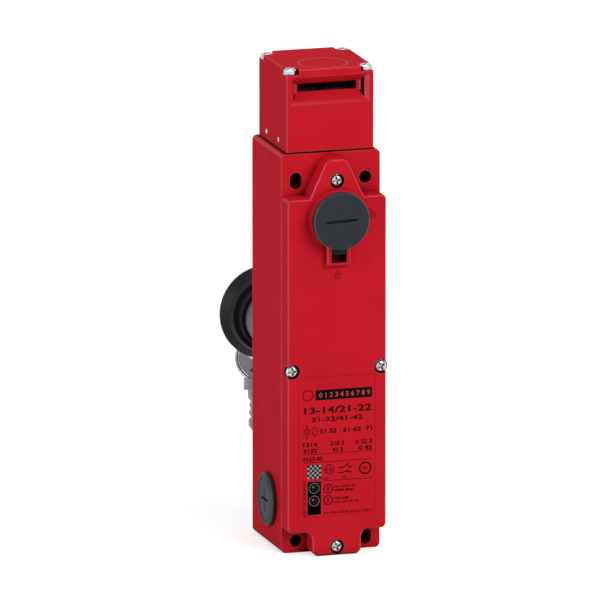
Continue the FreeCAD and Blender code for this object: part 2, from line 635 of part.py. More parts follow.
def head_housing():
    """Cast head: tongue entry in front, room for the cam wheel, notches for the four screws."""
    piece = Piece("head_housing", forward=S.head_rear)
    half = S.head_width / 2
    piece.pad([rectangle(-half, HEAD_LOW, half, HEAD_TOP)], S.head_depth)
    height = HEAD_TOP.value
    piece.soften("Fillet", S.head_round,
                 lambda edge: runs_along(edge, 1))
    piece.soften("Fillet", S.head_top_round,
                 lambda edge: abs(edge.BoundBox.YMin - height) < 1e-4)
    front = S.head_depth
    piece.pocket([rectangle(-CAM_SPACE_HALF, CAM_SPACE_REAR, CAM_SPACE_HALF, CAM_SPACE_FRONT)],
                 S.head_top - S.head_cavity_top, "XZ", -HEAD_LOW)
    side, share = S.funnel_side, S.funnel_bevel / S.funnel_depth
    lip_low = S.funnel_low - (S.funnel_low - S.throat_low) * share
    lip_high = S.funnel_high + (S.throat_high - S.funnel_high) * share
    throat = rectangle(-S.throat_half, HEAD_TOP - S.throat_low, S.throat_half, HEAD_TOP - S.throat_high)
    piece.funnel([(rectangle(-S.funnel_half, HEAD_TOP - S.funnel_low, S.funnel_half,
                             HEAD_TOP - S.funnel_high), front),
                  (rectangle(-side, HEAD_TOP - lip_low, side, HEAD_TOP - lip_high),
                   front - S.funnel_bevel),
                  (rectangle(-side, HEAD_TOP - S.throat_low, side, HEAD_TOP - S.throat_high),
                   front - S.funnel_depth)])
    corner = (side.value, front.value - S.funnel_depth.value)
    piece.soften("Fillet", S.funnel_round, lambda edge: runs_along(edge, 1)
                 and abs(abs(edge.BoundBox.XMin) - corner[0]) < 1e-4
                 and abs(edge.BoundBox.ZMin - corner[1]) < 1e-4)
    piece.pocket([throat], front - S.funnel_depth - CAM_SPACE_FRONT + 1, offset=front - S.funnel_depth)
    places = [(x, forward - S.head_rear) for x, forward in HEAD_SCREWS]
    notch = S.notch_radius
    reach = S.head_width
    piece.pocket([circle(x, y, notch) for x, y in places], S.notch_depth, "XZ", -HEAD_TOP, True)
    for x, y in places:
        side = 1 if x.value > 0 else -1
        way = 1 if y.value > S.head_depth.value / 2 else -1
        piece.pocket([rectangle(x - side * notch, y, x + side * reach, y + way * reach)],
                     S.notch_depth, "XZ", -HEAD_TOP, True)
        piece.pocket([rectangle(x, y - way * notch, x + side * reach, y + way * notch)],
                     S.notch_depth, "XZ", -HEAD_TOP, True)
    piece.pocket([circle(x, y, S.head_screw_shank + S.fit_gap) for x, y in places],
                 S.head_top, "XZ", -HEAD_TOP, True)
    piece.pocket([circle(0, S.top_plug_forward - S.head_rear, S.top_plug_radius + S.free_gap / 2)],
                 S.top_plug_thick, "XZ", -HEAD_TOP, True)
    for side in SIDES:
        piece.pocket([circle(HEAD_LOW + S.pin_height, forward - S.head_rear, S.pin_radius)
                      for forward in (S.pin_rear, S.pin_front)],
                     S.pin_length, "YZ", side * half, side < 0)
    axle_end = CAM_SPACE_HALF + S.wall
    piece.pocket([circle(CAM_AXIS, S.cam_forward - S.head_rear, S.axle_radius)],
                 2 * axle_end, "YZ", axle_end)


def head_seal():
    """Thin seal between the base and the head."""
    piece = Piece("head_seal", forward=S.head_rear)
    edge = S.free_gap
    half = S.head_width / 2 - edge
    piece.pad([rectangle(-half, edge, half, S.head_depth - edge),
               rectangle(-CAM_SPACE_HALF, CAM_SPACE_REAR, CAM_SPACE_HALF, CAM_SPACE_FRONT)],
              S.head_seal, "XZ", -HEAD_LOW)
    places = [(x, forward - S.head_rear) for x, forward in HEAD_SCREWS]
    piece.pocket([circle(x, y, S.head_screw_shank + S.fit_gap) for x, y in places],
                 S.head_seal, "XZ", -HEAD_LOW, True)


def head_screws():
    """Four long screws that hold the head on the base."""
    piece = Piece("head_screws", height=HEAD_TOP - S.notch_depth, facing="up")
    places = [(x, -forward) for x, forward in HEAD_SCREWS]
    piece.pad([circle(x, y, S.head_screw_head) for x, y in places], S.notch_depth)
    length = HEAD_TOP - S.notch_depth - S.base_height + S.head_screw_bite
    piece.pad([circle(x, y, S.head_screw_shank) for x, y in places], length, against=True)
    cross = S.head_screw_head * 0.7
    slot = S.screw_slot / 2
    piece.pocket([rectangle(x - cross, y - slot, x + cross, y + slot) for x, y in places],
                 S.screw_head_height / 2, offset=S.notch_depth)


def head_top_plug():
    """Round disc that closes the top of the head."""
    piece = Piece("head_top_plug", forward=S.top_plug_forward, height=HEAD_TOP - S.top_plug_thick,
                  facing="up")
    piece.pad([circle(0, 0, S.top_plug_radius)], S.top_plug_thick)


def head_pins():
    """Guide pins pressed into both sides of the head."""
    piece = Piece("head_pins")
    for side in SIDES:
        piece.pad([circle(HEAD_LOW + S.pin_height, forward, S.pin_radius)
                   for forward in (S.pin_rear, S.pin_front)],
                  S.pin_length, "YZ", side * S.head_width / 2, side > 0)


def cam_axle():
    """Fixed axle of the cam wheel."""
    length = CAM_SPACE_HALF + S.wall
    piece = Piece("cam_axle", x=-length, forward=S.cam_forward, height=CAM_AXIS, facing="right")
    piece.pad([circle(0, 0, S.axle_radius)], 2 * length)


def cam_wheel():
    """Double cam that the tongue turns: a rising cam on the left, a locking notch on the right."""
    piece = Piece("cam_wheel", forward=S.cam_forward, height=CAM_AXIS)
    half, groove = S.cam_half, S.cam_groove_half
    radius = S.cam_radius
    piece.pad([circle(0, 0, radius)], 2 * half, "YZ", -half)
    deep = S.cam_groove_radius
    piece.pocket([circle(0, 0, radius + 1), circle(0, 0, deep)], 2 * groove, "YZ", groove)
    piece.pocket([polygon(cam_rise())], half - groove, "YZ", -groove)
    piece.pocket([rectangle(radius - S.cam_slot_depth, -S.cam_slot_width / 2,
                            radius + 1, S.cam_slot_width / 2)], 2 * half, "YZ", half)
    notch = S.bolt_radius + S.free_gap
    piece.pocket([rectangle(-notch, -radius - 1, notch, S.cam_slot_depth - radius)],
                 half - groove, "YZ", half)
    piece.pocket([circle(0, 0, S.axle_radius + S.running_gap)], 2 * half, "YZ", half)


def cam_rise():
    """What is cut from the left cam: under the axle its radius is cam_flat, and it grows evenly
    with the angle to cam_radius a quarter turn to the rear, so the plunger follows the turn."""
    steps = 12
    spiral = [(-S.cam_flat, S.cam_flat), (-S.cam_flat, 0)]
    for k in range(1, steps + 1):
        angle = math.pi / 2 * k / steps
        radius = S.cam_flat + (S.cam_radius - S.cam_flat) * k / steps
        spiral.append((-radius * math.cos(angle), -radius * math.sin(angle)))
    outside = S.cam_radius + 1
    return spiral + [(0, -outside), (-outside, -outside), (-outside, S.cam_flat)]


def head_plunger():
    """Plunger that the switching cam pushes down."""
    top = CAM_AXIS - S.cam_flat - S.free_gap
    piece = Piece("head_plunger", x=-S.plunger_x, forward=S.cam_forward, height=PLUNGER_LOW,
                  facing="up")
    piece.pad([circle(0, 0, S.plunger_radius)], top - PLUNGER_LOW)


def contact_carrier():
    """Insulating foot of the plunger above the contact block."""
    piece = Piece("contact_carrier", x=-S.plunger_x, forward=S.cam_forward, height=CARRIER_LOW,
                  facing="up")
    half = S.carrier_half
    piece.pad([rectangle(-half / 2, -half, half / 2, half)], S.carrier_low)
    piece.pad([rectangle(-half, -half, half, half)], 2 * half, offset=S.carrier_low - 2 * half)


def lock_bolt():
    """Locking bolt under the cam wheel, with the yoke that the release crank draws down."""
    top = CAM_AXIS - S.cam_radius - S.free_gap
    piece = Piece("lock_bolt")
    piece.pad([circle(S.plunger_x, S.cam_forward, S.bolt_radius)], top - BOLT_LOW, "XZ", -top)
    pin, throw = S.crank_pin_radius, S.crank_throw
    half = S.yoke_half_height
    left, right = -pin - S.free_gap - S.wall / 2, S.plunger_x + S.bolt_radius * 0.7
    centre = RELEASE_AXIS
    piece.pad([rectangle(left, centre - half, right, centre + half)], S.yoke_thick,
              offset=S.yoke_forward)
    slack = S.free_gap + throw * 0.25
    piece.pocket([rectangle(-pin - S.free_gap, centre - pin - slack,
                            throw + pin + S.free_gap, centre + pin + S.free_gap)],
                 S.yoke_thick, offset=S.yoke_forward + S.yoke_thick)
    arm = S.bolt_radius * 0.7
    piece.pad([rectangle(S.plunger_x - arm, centre - arm, S.plunger_x + arm, centre + arm)],
              S.yoke_forward - S.cam_forward, offset=S.cam_forward)


def solenoid_armature():
    """Iron armature on the lower end of the bolt."""
    low = COIL_LOW + S.armature_low
    piece = Piece("solenoid_armature", x=S.plunger_x, forward=S.cam_forward, height=low, facing="up")
    piece.pad([circle(0, 0, S.armature_radius)], BOLT_LOW - low)


def solenoid_coil():
    """Winding on its bobbin, with the bore for the armature."""
    piece = Piece("solenoid_coil", x=S.plunger_x, forward=S.cam_forward, height=COIL_LOW,
                  facing="up")
    length = COIL_HIGH - COIL_LOW
    flange = S.frame_sheet
    inner, outer = S.armature_radius + S.free_gap, S.coil_radius
    waist = outer - flange / 2
    piece.revolve([(inner, 0), (outer, 0), (outer, flange), (waist, flange),
                   (waist, length - flange), (outer, length - flange), (outer, length),
                   (inner, length)])


def solenoid_frame():
    """Bent iron frame round the coil, screwed to the rear wall."""
    piece = Piece("solenoid_frame", x=S.plunger_x, forward=S.wall, height=COIL_LOW)
    sheet = S.frame_sheet
    length = COIL_HIGH - COIL_LOW
    half = S.coil_radius
    depth = S.cam_forward - S.wall + half
    piece.pad([rectangle(-half, -sheet, half, length + sheet)], sheet)
    piece.pad([rectangle(-half, -sheet, half, 0), rectangle(-half, length, half, length + sheet)], depth)
    piece.pocket([circle(0, S.cam_forward - S.wall, S.armature_radius + S.free_gap)],
                 sheet + 1, "XZ", -length - sheet, True)


def release_disc():
    """Front release: a flat disc with a bevelled edge and a driver slot."""
    seat = COVER_FRONT + S.release_boss_depth + S.release_gap
    piece = Piece("release_disc", forward=seat, height=RELEASE_AXIS)
    radius, thick = S.release_radius, S.release_thick
    bevel = thick * 0.3
    piece.revolve([(0, 0), (radius, 0), (radius, thick - bevel), (radius - bevel, thick), (0, thick)])
    half = S.release_slot_length / 2
    slot = S.release_slot_width / 2
    piece.pocket([rectangle(-half, -slot, half, slot)], thick / 2, offset=thick)


def release_spindle():
    """Spindle of the release with its crank web and crank pin."""
    seat = COVER_FRONT + S.release_boss_depth + S.release_gap
    crank_front = COVER_FRONT - S.cover_wall - S.free_gap
    crank_rear = crank_front - S.crank_thick
    piece = Piece("release_spindle", height=RELEASE_AXIS)
    piece.pad([circle(0, 0, S.spindle_radius)], seat - crank_rear, offset=crank_rear)
    web = S.crank_throw + S.crank_pin_radius + S.free_gap
    piece.pad([circle(0, 0, web)], S.crank_thick, offset=crank_rear)
    pin_rear = S.yoke_forward + S.free_gap
    piece.pad([circle(S.crank_throw, 0, S.crank_pin_radius)], crank_rear - pin_rear, offset=pin_rear)


def release_lug():
    """Lug for the lead seal in the pocket under the release disc."""
    low = RELEASE_AXIS - S.lug_low
    top = RELEASE_AXIS - S.release_radius - S.free_gap
    piece = Piece("release_lug", forward=COVER_FRONT + S.lug_block_depth - S.lug_pocket_depth,
                  height=low)
    piece.pad([rectangle(-S.lug_half, 0, S.lug_half, top - low)],
              S.lug_pocket_depth - S.free_gap)


def indicators():
    """Window plate, two lenses and the small board that carries the lamps."""
    inside = COVER_FRONT - S.cover_wall
    plate = Piece("indicator_window", forward=COVER_FRONT - S.window_thick)
    plate.pad([window_outline(S.fit_gap)], S.window_thick)
    green = S.window_high - S.green_height
    lenses = (("green_lens", green), ("red_lens", green - S.red_height))
    plate.pocket([circle(S.window_centre_x, height, S.lens_radius + S.fit_gap) for _, height in lenses],
                 S.window_thick, offset=S.window_thick)
    for node, height in lenses:
        lens = Piece(node, x=S.window_centre_x, forward=inside - S.free_gap, height=height)
        length = S.cover_wall + S.free_gap
        lens.pad([circle(0, 0, S.lens_radius)], length)
    board = Piece("indicator_board", forward=inside - S.free_gap - S.frame_sheet)
    half = S.window_width / 2 + S.frame_sheet
    board.pad([rectangle(S.window_centre_x - half, S.window_low - S.frame_sheet / 2,
                         S.window_centre_x + half, S.window_high + S.frame_sheet)], S.frame_sheet)


def contact_blocks():
    """Upper block under the carrier, two lower blocks, the terminals and the earth screw."""
    inner = HALF_WIDTH - S.wall - S.free_gap
    gap = S.free_gap
    upper = Piece("upper_contact_block", forward=S.wall)
    right = S.plunger_x - S.coil_radius - gap
    upper.pad([rectangle(-inner, NUT_TOP + S.block_low, right, CARRIER_LOW - S.block_high)],
              S.block_depth)
    lower = Piece("lower_contact_blocks", forward=S.wall)
    terminal_top = S.terminal_low + S.terminal_high
    low, high = terminal_top + S.lower_block_low, NUT_LOW - S.lower_block_high
    lower.pad([rectangle(-inner, low, -gap, high), rectangle(gap, low, inner, high)], S.block_depth)
    terminals = Piece("terminal_block", forward=S.wall)
    reach = inner - S.wall
    terminals.pad([rectangle(-reach, S.terminal_low, reach, terminal_top)], S.terminal_depth)
    screws = Piece("terminal_screws", forward=S.wall + S.terminal_depth)
    middle = S.terminal_low + S.terminal_high / 2
    columns = [reach * step / 6 for step in (-5, -3, -1, 1, 3, 5)]
    screws.pad([circle(x, middle, S.screw_shank) for x in columns], S.screw_head_height / 2)
    earth = Piece("earth_screw", x=reach - S.wall, forward=S.wall, height=S.floor_height + 2 * S.wall)
    earth.pad([circle(0, 0, S.cover_screw_head)], S.screw_head_height)


def blanking_plug(side):
    """Screwed plug of an unused side entry, with a stepped rim, and the seal under it."""
    name = "right" if side > 0 else "left"
    seal = Piece(name + "_plug_seal", x=side * HALF_WIDTH, forward=S.side_entry_forward,
                 height=S.side_entry_height, facing=name)
    outer, shank = S.plug_flange_radius, S.entry_radius - S.fit_gap
    seal.revolve([(S.entry_radius, 0), (outer - S.fit_gap, 0), (outer - S.fit_gap, S.plug_seal_thick),
                  (S.entry_radius, S.plug_seal_thick)])
    plug = Piece(name + "_plug", x=side * HALF_WIDTH, forward=S.side_entry_forward,
                 height=S.side_entry_height, facing=name)
    low, high = S.plug_seal_thick, S.plug_seal_thick + S.plug_flange_thick
    step = S.plug_flange_thick * 0.4
    plug.revolve([(0, -S.plug_shank), (shank, -S.plug_shank), (shank, low), (outer, low),
                  (outer, high - step), (outer - step, high), (outer - 2 * step, high),
                  (outer - 3 * step, high - step), (outer - 4 * step, high - step / 2),
                  (0, high - step / 2)])
    slot = S.screw_slot / 2
    half = S.plug_flange_radius / 2
    plug.pocket([rectangle(-half, -slot, half, slot)], step, offset=high)


def rear_button():
    """Guide sleeve with its nut, mushroom button with its push rod, and the lock barrel."""
    reach = {"height": S.button_height, "facing": "rear"}
    sleeve = Piece("button_sleeve", **reach)
    rod = S.rod_radius + S.running_gap
    end, mouth = S.sleeve_length, TUBE_END - S.button_travel - S.sleeve_bore_depth
    sleeve.revolve([(rod, -S.neck_length), (S.neck_radius, -S.neck_length), (S.neck_radius, 0),
                    (S.sleeve_flange, 0), (S.sleeve_flange, S.sleeve_flange_thick),
                    (S.sleeve_radius, S.sleeve_flange_thick), (S.sleeve_radius, end),
                    (S.sleeve_bore, end), (S.sleeve_bore, mouth), (rod, mouth)])
    nut = Piece("button_nut", forward=S.wall, height=S.button_height)
    corners = [(S.nut_radius * math.cos(math.pi * k / 3), S.nut_radius * math.sin(math.pi * k / 3))
               for k in range(6)]
    nut.pad([polygon(corners), circle(0, 0, S.neck_radius + S.fit_gap)], S.nut_thick)

    button = Piece("mushroom_button", **reach)
    bore = S.sleeve_radius + S.free_gap
    rim, face = MUSHROOM_RIM, MUSHROOM_FACE
    lock = S.barrel_radius + S.running_gap
    roof = end + S.button_travel + S.button_stop
    collar, shoulder = end - S.button_collar, end - S.button_shoulder
    wide, edge, land, crown = S.button_radius, S.button_edge, S.button_land, S.button_crown
    button.revolve([(S.rod_radius, TUBE_END), (S.button_tube, TUBE_END),
                    (S.button_tube, roof), (bore, roof), (bore, collar),
                    (S.button_collar_radius, collar), (S.button_collar_radius, shoulder),
                    (S.button_shoulder_radius, shoulder),
                    (S.button_shoulder_radius + S.button_step, shoulder + S.button_flare),
                    (wide - edge, rim - edge), (wide, rim), (wide, rim + land),
                    (wide - land, face - 2 * land), (wide - crown, face - crown * 0.15),
                    (wide - 2 * crown, face), (lock, face), (lock, LOCK_END),
                    (S.rod_radius, LOCK_END)])
    push_rod = Piece("button_rod", **reach)
    push_rod.pad([circle(0, 0, S.rod_radius)], S.rod_reach + LOCK_END, offset=-S.rod_reach)

    barrel = Piece("lock_barrel", forward=-LOCK_END, height=S.button_height, facing="rear")
    barrel.pad([circle(0, 0, S.barrel_radius)], S.barrel_length)
    half, thick = S.keyway_width / 2, S.keyway_thick / 2
    barrel.pocket([rectangle(-half, -thick, half, thick)], S.keyway_depth, offset=S.barrel_length)


def key(node, **place):
    """Flat key: round bow with a raised edge and a wide hole, shoulder, and toothed blade.

    The bow's centre is the body's origin; the blade points along -Y and the plate is level.
    """
    piece = Piece(node, facing="up", **place)
    bow, half = S.key_bow_radius, S.key_thick / 2
    neck, blade = S.key_neck_half, S.key_blade_half
    piece.pad([circle(0, 0, bow)], S.key_thick, offset=-half)
    full = half + S.key_rim_height
    piece.pad([circle(0, 0, bow), circle(0, 0, bow - S.key_rim)], 2 * full, offset=-full)
    piece.pad([rectangle(-neck, -S.key_neck_end, neck, S.key_rim - bow)], 2 * full, offset=-full)
    piece.pocket([half_moon(S.key_hole_centre, S.key_hole_radius, S.key_hole_high)], 2 * full,
                 offset=full)
    straight = S.key_hole_high.value
    piece.soften("Fillet", S.key_hole_round, lambda edge: runs_along(edge, 2)
                 and abs(edge.BoundBox.YMin - straight) < 1e-4)
    root, tip = -S.key_neck_end, -S.key_blade_end
    step = (S.key_blade_end - S.key_neck_end) / 10
    cut = S.key_cut
    teeth = [(-blade, root), (-blade, root - step), (cut - blade, root - 2 * step),
             (0.4 * cut - blade, root - 3 * step), (0.9 * cut - blade, root - 4 * step),
             (0.3 * cut - blade, root - 5 * step), (1.3 * cut - blade, root - 6.4 * step),
             (0.2 * cut - blade, root - 7 * step), (0.2 * cut - blade, root - 8.6 * step),
             (1.9 * cut - blade, tip), (blade - 1.9 * cut, tip), (blade, tip + step), (blade, root)]
    thick = S.key_blade_thick / 2
    piece.pad([polygon(teeth)], S.key_blade_thick, offset=-thick)
    return piece


def keys():
    """Key in the lock, split ring over the far side of its bow, and the spare key on the ring."""
    bow_rear = MUSHROOM_FACE + S.barrel_proud + S.key_bow_gap + S.key_neck_end
    key("key_in_lock", forward=-bow_rear, height=S.button_height)

    turned = math.radians(S.ring_turn.value)
    band = (S.key_hole_high / math.cos(turned) + S.key_bow_radius) / 2
    ring_x, ring_rear = band * math.sin(turned), bow_rear + band * math.cos(turned)
    drop = S.ring_radius - S.ring_wire - S.key_thick / 2 - S.key_rim_height - 2 * S.free_gap
    ring = DOC.addObject("Part::Torus", "key_ring")
    ring.Label = "key_ring"
    bind(ring, "Radius1", S.ring_radius)
    bind(ring, "Radius2", S.ring_wire)
    ring.Placement = PLACE(VEC(), TURN(VEC(0, 0, 1), -S.ring_turn.value).multiply(FACINGS["right"]))
    bind(ring, "Placement.Base.x", ring_x)
    bind(ring, "Placement.Base.y", ring_rear)
    bind(ring, "Placement.Base.z", S.button_height - drop - MOUNT_HEIGHT)
    PIECES.append(ring)

    wire_low = S.button_height - drop - S.ring_radius
    spare_height = wire_low + S.ring_wire + S.free_gap - S.key_hole_high
    spare = key("spare_key", x=ring_x, forward=-ring_rear, height=spare_height)
    turn = TURN(VEC(0, 0, 1), -S.spare_key_turn.value).multiply(FACINGS["front"])
    spare.body.Placement = PLACE(spare.body.Placement.Base, turn)


def check_and_export():
    """Stop on any failed object, then write one STEP file for each sub-part."""
    DOC.recompute()
    for item in DOC.Objects:
        if "Invalid" in item.State or "Error" in item.State:
            raise RuntimeError(f"{item.Name} ({item.Label}) failed: {item.State}")
    os.makedirs("parts", exist_ok=True)
    for piece in PIECES:
        shape = piece.Shape
        if shape.isNull() or not shape.isValid() or not shape.Solids:
            raise RuntimeError(f"{piece.Label} has no valid solid")
        shape.exportStep(f"parts/{piece.Label}.step")
    print(f"{len(PIECES)} sub-parts written")


base_housing()
cover()
cover_screws()
head_seal()
head_housing()
head_screws()
head_top_plug()
head_pins()
cam_axle()
cam_wheel()
head_plunger()
contact_carrier()
lock_bolt()
solenoid_armature()
solenoid_coil()
solenoid_frame()
release_disc()
release_spindle()
release_lug()
indicators()
contact_blocks()
for each_side in SIDES:
    blanking_plug(each_side)
rear_button()
keys()
check_and_export()
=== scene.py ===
"""Tongue interlock switch: finishes, fine pieces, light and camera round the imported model.

Places are in metres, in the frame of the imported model: +X to the right of someone who faces the cover, +Y to
the rear, +Z up. Sizes of pieces and of print are in millimetres. Surfaces are grids of points worked out as
whole arrays.
"""

import json
import math

import bmesh
import bpy
import numpy as np
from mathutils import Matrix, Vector


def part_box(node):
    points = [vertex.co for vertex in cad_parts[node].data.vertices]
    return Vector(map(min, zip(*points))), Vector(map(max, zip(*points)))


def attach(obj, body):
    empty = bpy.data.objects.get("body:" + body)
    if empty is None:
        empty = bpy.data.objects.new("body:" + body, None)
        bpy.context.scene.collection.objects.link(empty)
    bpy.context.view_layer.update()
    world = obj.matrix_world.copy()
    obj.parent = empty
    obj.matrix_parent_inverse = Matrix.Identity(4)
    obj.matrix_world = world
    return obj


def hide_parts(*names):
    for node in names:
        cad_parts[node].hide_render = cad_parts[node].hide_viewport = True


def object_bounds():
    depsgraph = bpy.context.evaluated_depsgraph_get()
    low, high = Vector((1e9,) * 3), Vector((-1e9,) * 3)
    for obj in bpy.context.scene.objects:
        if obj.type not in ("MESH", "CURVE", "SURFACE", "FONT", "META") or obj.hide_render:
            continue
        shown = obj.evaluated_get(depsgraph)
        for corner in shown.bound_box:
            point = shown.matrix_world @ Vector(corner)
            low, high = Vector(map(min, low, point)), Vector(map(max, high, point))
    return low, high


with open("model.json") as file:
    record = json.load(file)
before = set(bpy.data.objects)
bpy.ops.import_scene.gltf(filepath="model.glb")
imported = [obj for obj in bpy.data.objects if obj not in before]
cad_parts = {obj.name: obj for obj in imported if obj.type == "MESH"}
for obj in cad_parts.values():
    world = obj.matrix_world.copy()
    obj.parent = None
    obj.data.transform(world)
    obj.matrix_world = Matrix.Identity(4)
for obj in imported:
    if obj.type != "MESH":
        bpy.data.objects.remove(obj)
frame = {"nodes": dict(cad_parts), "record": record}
cad_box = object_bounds()

MM = 0.001
TAU = 2 * math.pi


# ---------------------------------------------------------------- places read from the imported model

SLOTS = {row["node"]: row["material_slot"] for row in frame["record"]["subparts"]}
BOX = {node: (np.array(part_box(node)[0]), np.array(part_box(node)[1])) for node in SLOTS}


def middle(node):
    """Centre of a CAD node's box."""
    low, high = BOX[node]
    return (low + high) / 2


cover_face = BOX["indicator_window"][0][1]
floor_z = BOX["base_housing"][0][2]


def on_cover(x, height, proud=0.0):
    """Points on the cover's face: x across, height over the foot, proud of the face, all in millimetres."""
    return np.stack([x * MM, 0 * x + cover_face - proud * MM, floor_z + height * MM], axis=-1)


# ---------------------------------------------------------------- shader maths

class Signal:
    """A socket that carries a number or a colour through a material, with the operators of a number."""

    def __init__(self, finish, socket):
        self.finish, self.socket = finish, socket

    def _math(self, operation, *values):
        return self.finish.node("ShaderNodeMath", {"operation": operation}, dict(enumerate(values)))

    def __add__(self, other):
        return self._math("ADD", self, other)

    def __radd__(self, other):
        return self._math("ADD", other, self)

    def __sub__(self, other):
        return self._math("SUBTRACT", self, other)

    def __rsub__(self, other):
        return self._math("SUBTRACT", other, self)

    def __mul__(self, other):
        return self._math("MULTIPLY", self, other)

    def __rmul__(self, other):
        return self._math("MULTIPLY", other, self)

    def __pow__(self, other):
        return self._math("POWER", self, other)

    def __lt__(self, other):
        return self._math("LESS_THAN", self, other)

    def __gt__(self, other):
        return self._math("GREATER_THAN", self, other)

    def at_least(self, other):
        return self._math("MAXIMUM", self, other)

    def size(self):
        return self._math("ABSOLUTE", self)

    def step(self, low, high):
        """0 below low, 1 above high, smooth between."""
        return self.finish.node("ShaderNodeMapRange", {"interpolation_type": "SMOOTHSTEP"},
                                {"Value": self, "From Min": low, "From Max": high})


class Finish:
    """A material with one Principled shader. Numbers and colours that don't vary sit on its own sockets."""

    def __init__(self, name, **constants):
        self.material = bpy.data.materials.new(name)
        self.material.use_nodes = True
        self.tree = self.material.node_tree
        self.shader = self.tree.nodes["Principled BSDF"]
        for key, value in constants.items():
            self.shader.inputs[key.replace("_", " ")].default_value = value

    def node(self, kind, settings=None, values=None, output=0):
        """Adds a node: its settings first, then a value or a link for each named or numbered socket."""
        made = self.tree.nodes.new(kind)
        for key, value in (settings or {}).items():
            setattr(made, key, value)
        for key, value in (values or {}).items():
            socket = made.inputs[key]
            if isinstance(value, Signal):
                self.tree.links.new(value.socket, socket)
            else:
                socket.default_value = value
        return Signal(self, made.outputs[output])

    def feed(self, socket, signal):
        """Links a signal to a socket of the shader."""
        self.tree.links.new(signal.socket, self.shader.inputs[socket])

    def place(self, centre=(0, 0, 0)):
        """Object coordinates in millimetres, counted from centre, which is in metres."""
        return self.node("ShaderNodeMapping", None, {
            "Vector": self.node("ShaderNodeTexCoord", output=3),
            "Location": tuple(-c / MM for c in centre), "Scale": (1 / MM,) * 3})

    def axes(self, vector):
        """The three numbers of a vector."""
        first = self.node("ShaderNodeSeparateXYZ", None, {0: vector})
        return [Signal(self, out) for out in first.socket.node.outputs]

    def noise(self, vector, per_mm, detail=2.0, roughness=0.5):
        """Cloudy pattern of about per_mm spots to a millimetre."""
        return self.node("ShaderNodeTexNoise", None, {
            "Vector": vector, "Scale": per_mm, "Detail": detail, "Roughness": roughness})

    def mix(self, share, low, high):
        """Colour between low and high."""
        low, high = ((*c, 1) if isinstance(c, tuple) else c for c in (low, high))
        return self.node("ShaderNodeMix", {"data_type": "RGBA"}, {0: share, 6: low, 7: high}, output=2)

    def bump(self, height, depth_mm, normal):
        """Normal of a relief whose height runs from 0 to 1 over depth_mm."""
        return self.node("ShaderNodeBump", None, {
            "Height": height, "Distance": depth_mm * MM, "Strength": 1.0, "Normal": normal})

    def rounded(self, radius_mm, samples=8):
        """Normal as if every edge were rounded by radius_mm."""
        return self.node("ShaderNodeBevel", {"samples": samples}, {"Radius": radius_mm * MM})

    def depth(self, reach_mm, samples=6):
        """0 on open ground, 1 deep in a gap or hole, judged over reach_mm."""
        open_share = self.node("ShaderNodeAmbientOcclusion", {"samples": samples},
                               {"Distance": reach_mm * MM}, output=1)
        return 1 - open_share

    def slant(self, low=0.86, high=0.97):
        """1 on upright rounded edges and bevels, 0.25 on level ones, 0 on faces square to the frame: judged by
        the largest part of the normal, and by the part that points up or down."""
        normal = self.node("ShaderNodeNewGeometry", output=1)
        across, along, up = [part.size() for part in self.axes(normal)]
        square = across.at_least(along).at_least(up).step(low, high)
        return (1 - square) * (1 - up.step(0.25, 0.6) * 0.75)

    def edge(self, radius_mm, samples=6):
        """0 on flat ground, towards 1 within radius_mm of a sharp edge."""
        soft = self.rounded(radius_mm, samples)
        hard = self.node("ShaderNodeNewGeometry", output=1)
        facing = self.node("ShaderNodeVectorMath", {"operation": "DOT_PRODUCT"},
                           {0: soft, 1: hard}, output=1)
        return (1 - facing).step(0.01, 0.2)


# ---------------------------------------------------------------- finishes

DEEP_RED, FULL_RED = (0.485, 0.0085, 0.0185), (0.53, 0.0105, 0.022)
# Pale edge red: partly wear, partly painted highlight. Shaded red: painted shade in gaps and holes. Seam red: a
# dark joint.
WEAR_AND_HIGHLIGHT_RED, SHADED_RED, SEAM_RED = (0.7, 0.06, 0.08), (0.006, 0.0008, 0.001), (0.03, 0.001, 0.002)
# Black for painted shade in plastic gaps; pale green for the painted highlight on the lens caps.
SHADED_PLASTIC, PAINTED_GLINT = (0.001, 0.001, 0.001), (0.42, 0.5, 0.42)
# Black for painted shade in metal recesses; pale metal for the bright edges.
SHADED_METAL, BRIGHT_METAL = (0.008, 0.008, 0.009), (0.9, 0.9, 0.9)


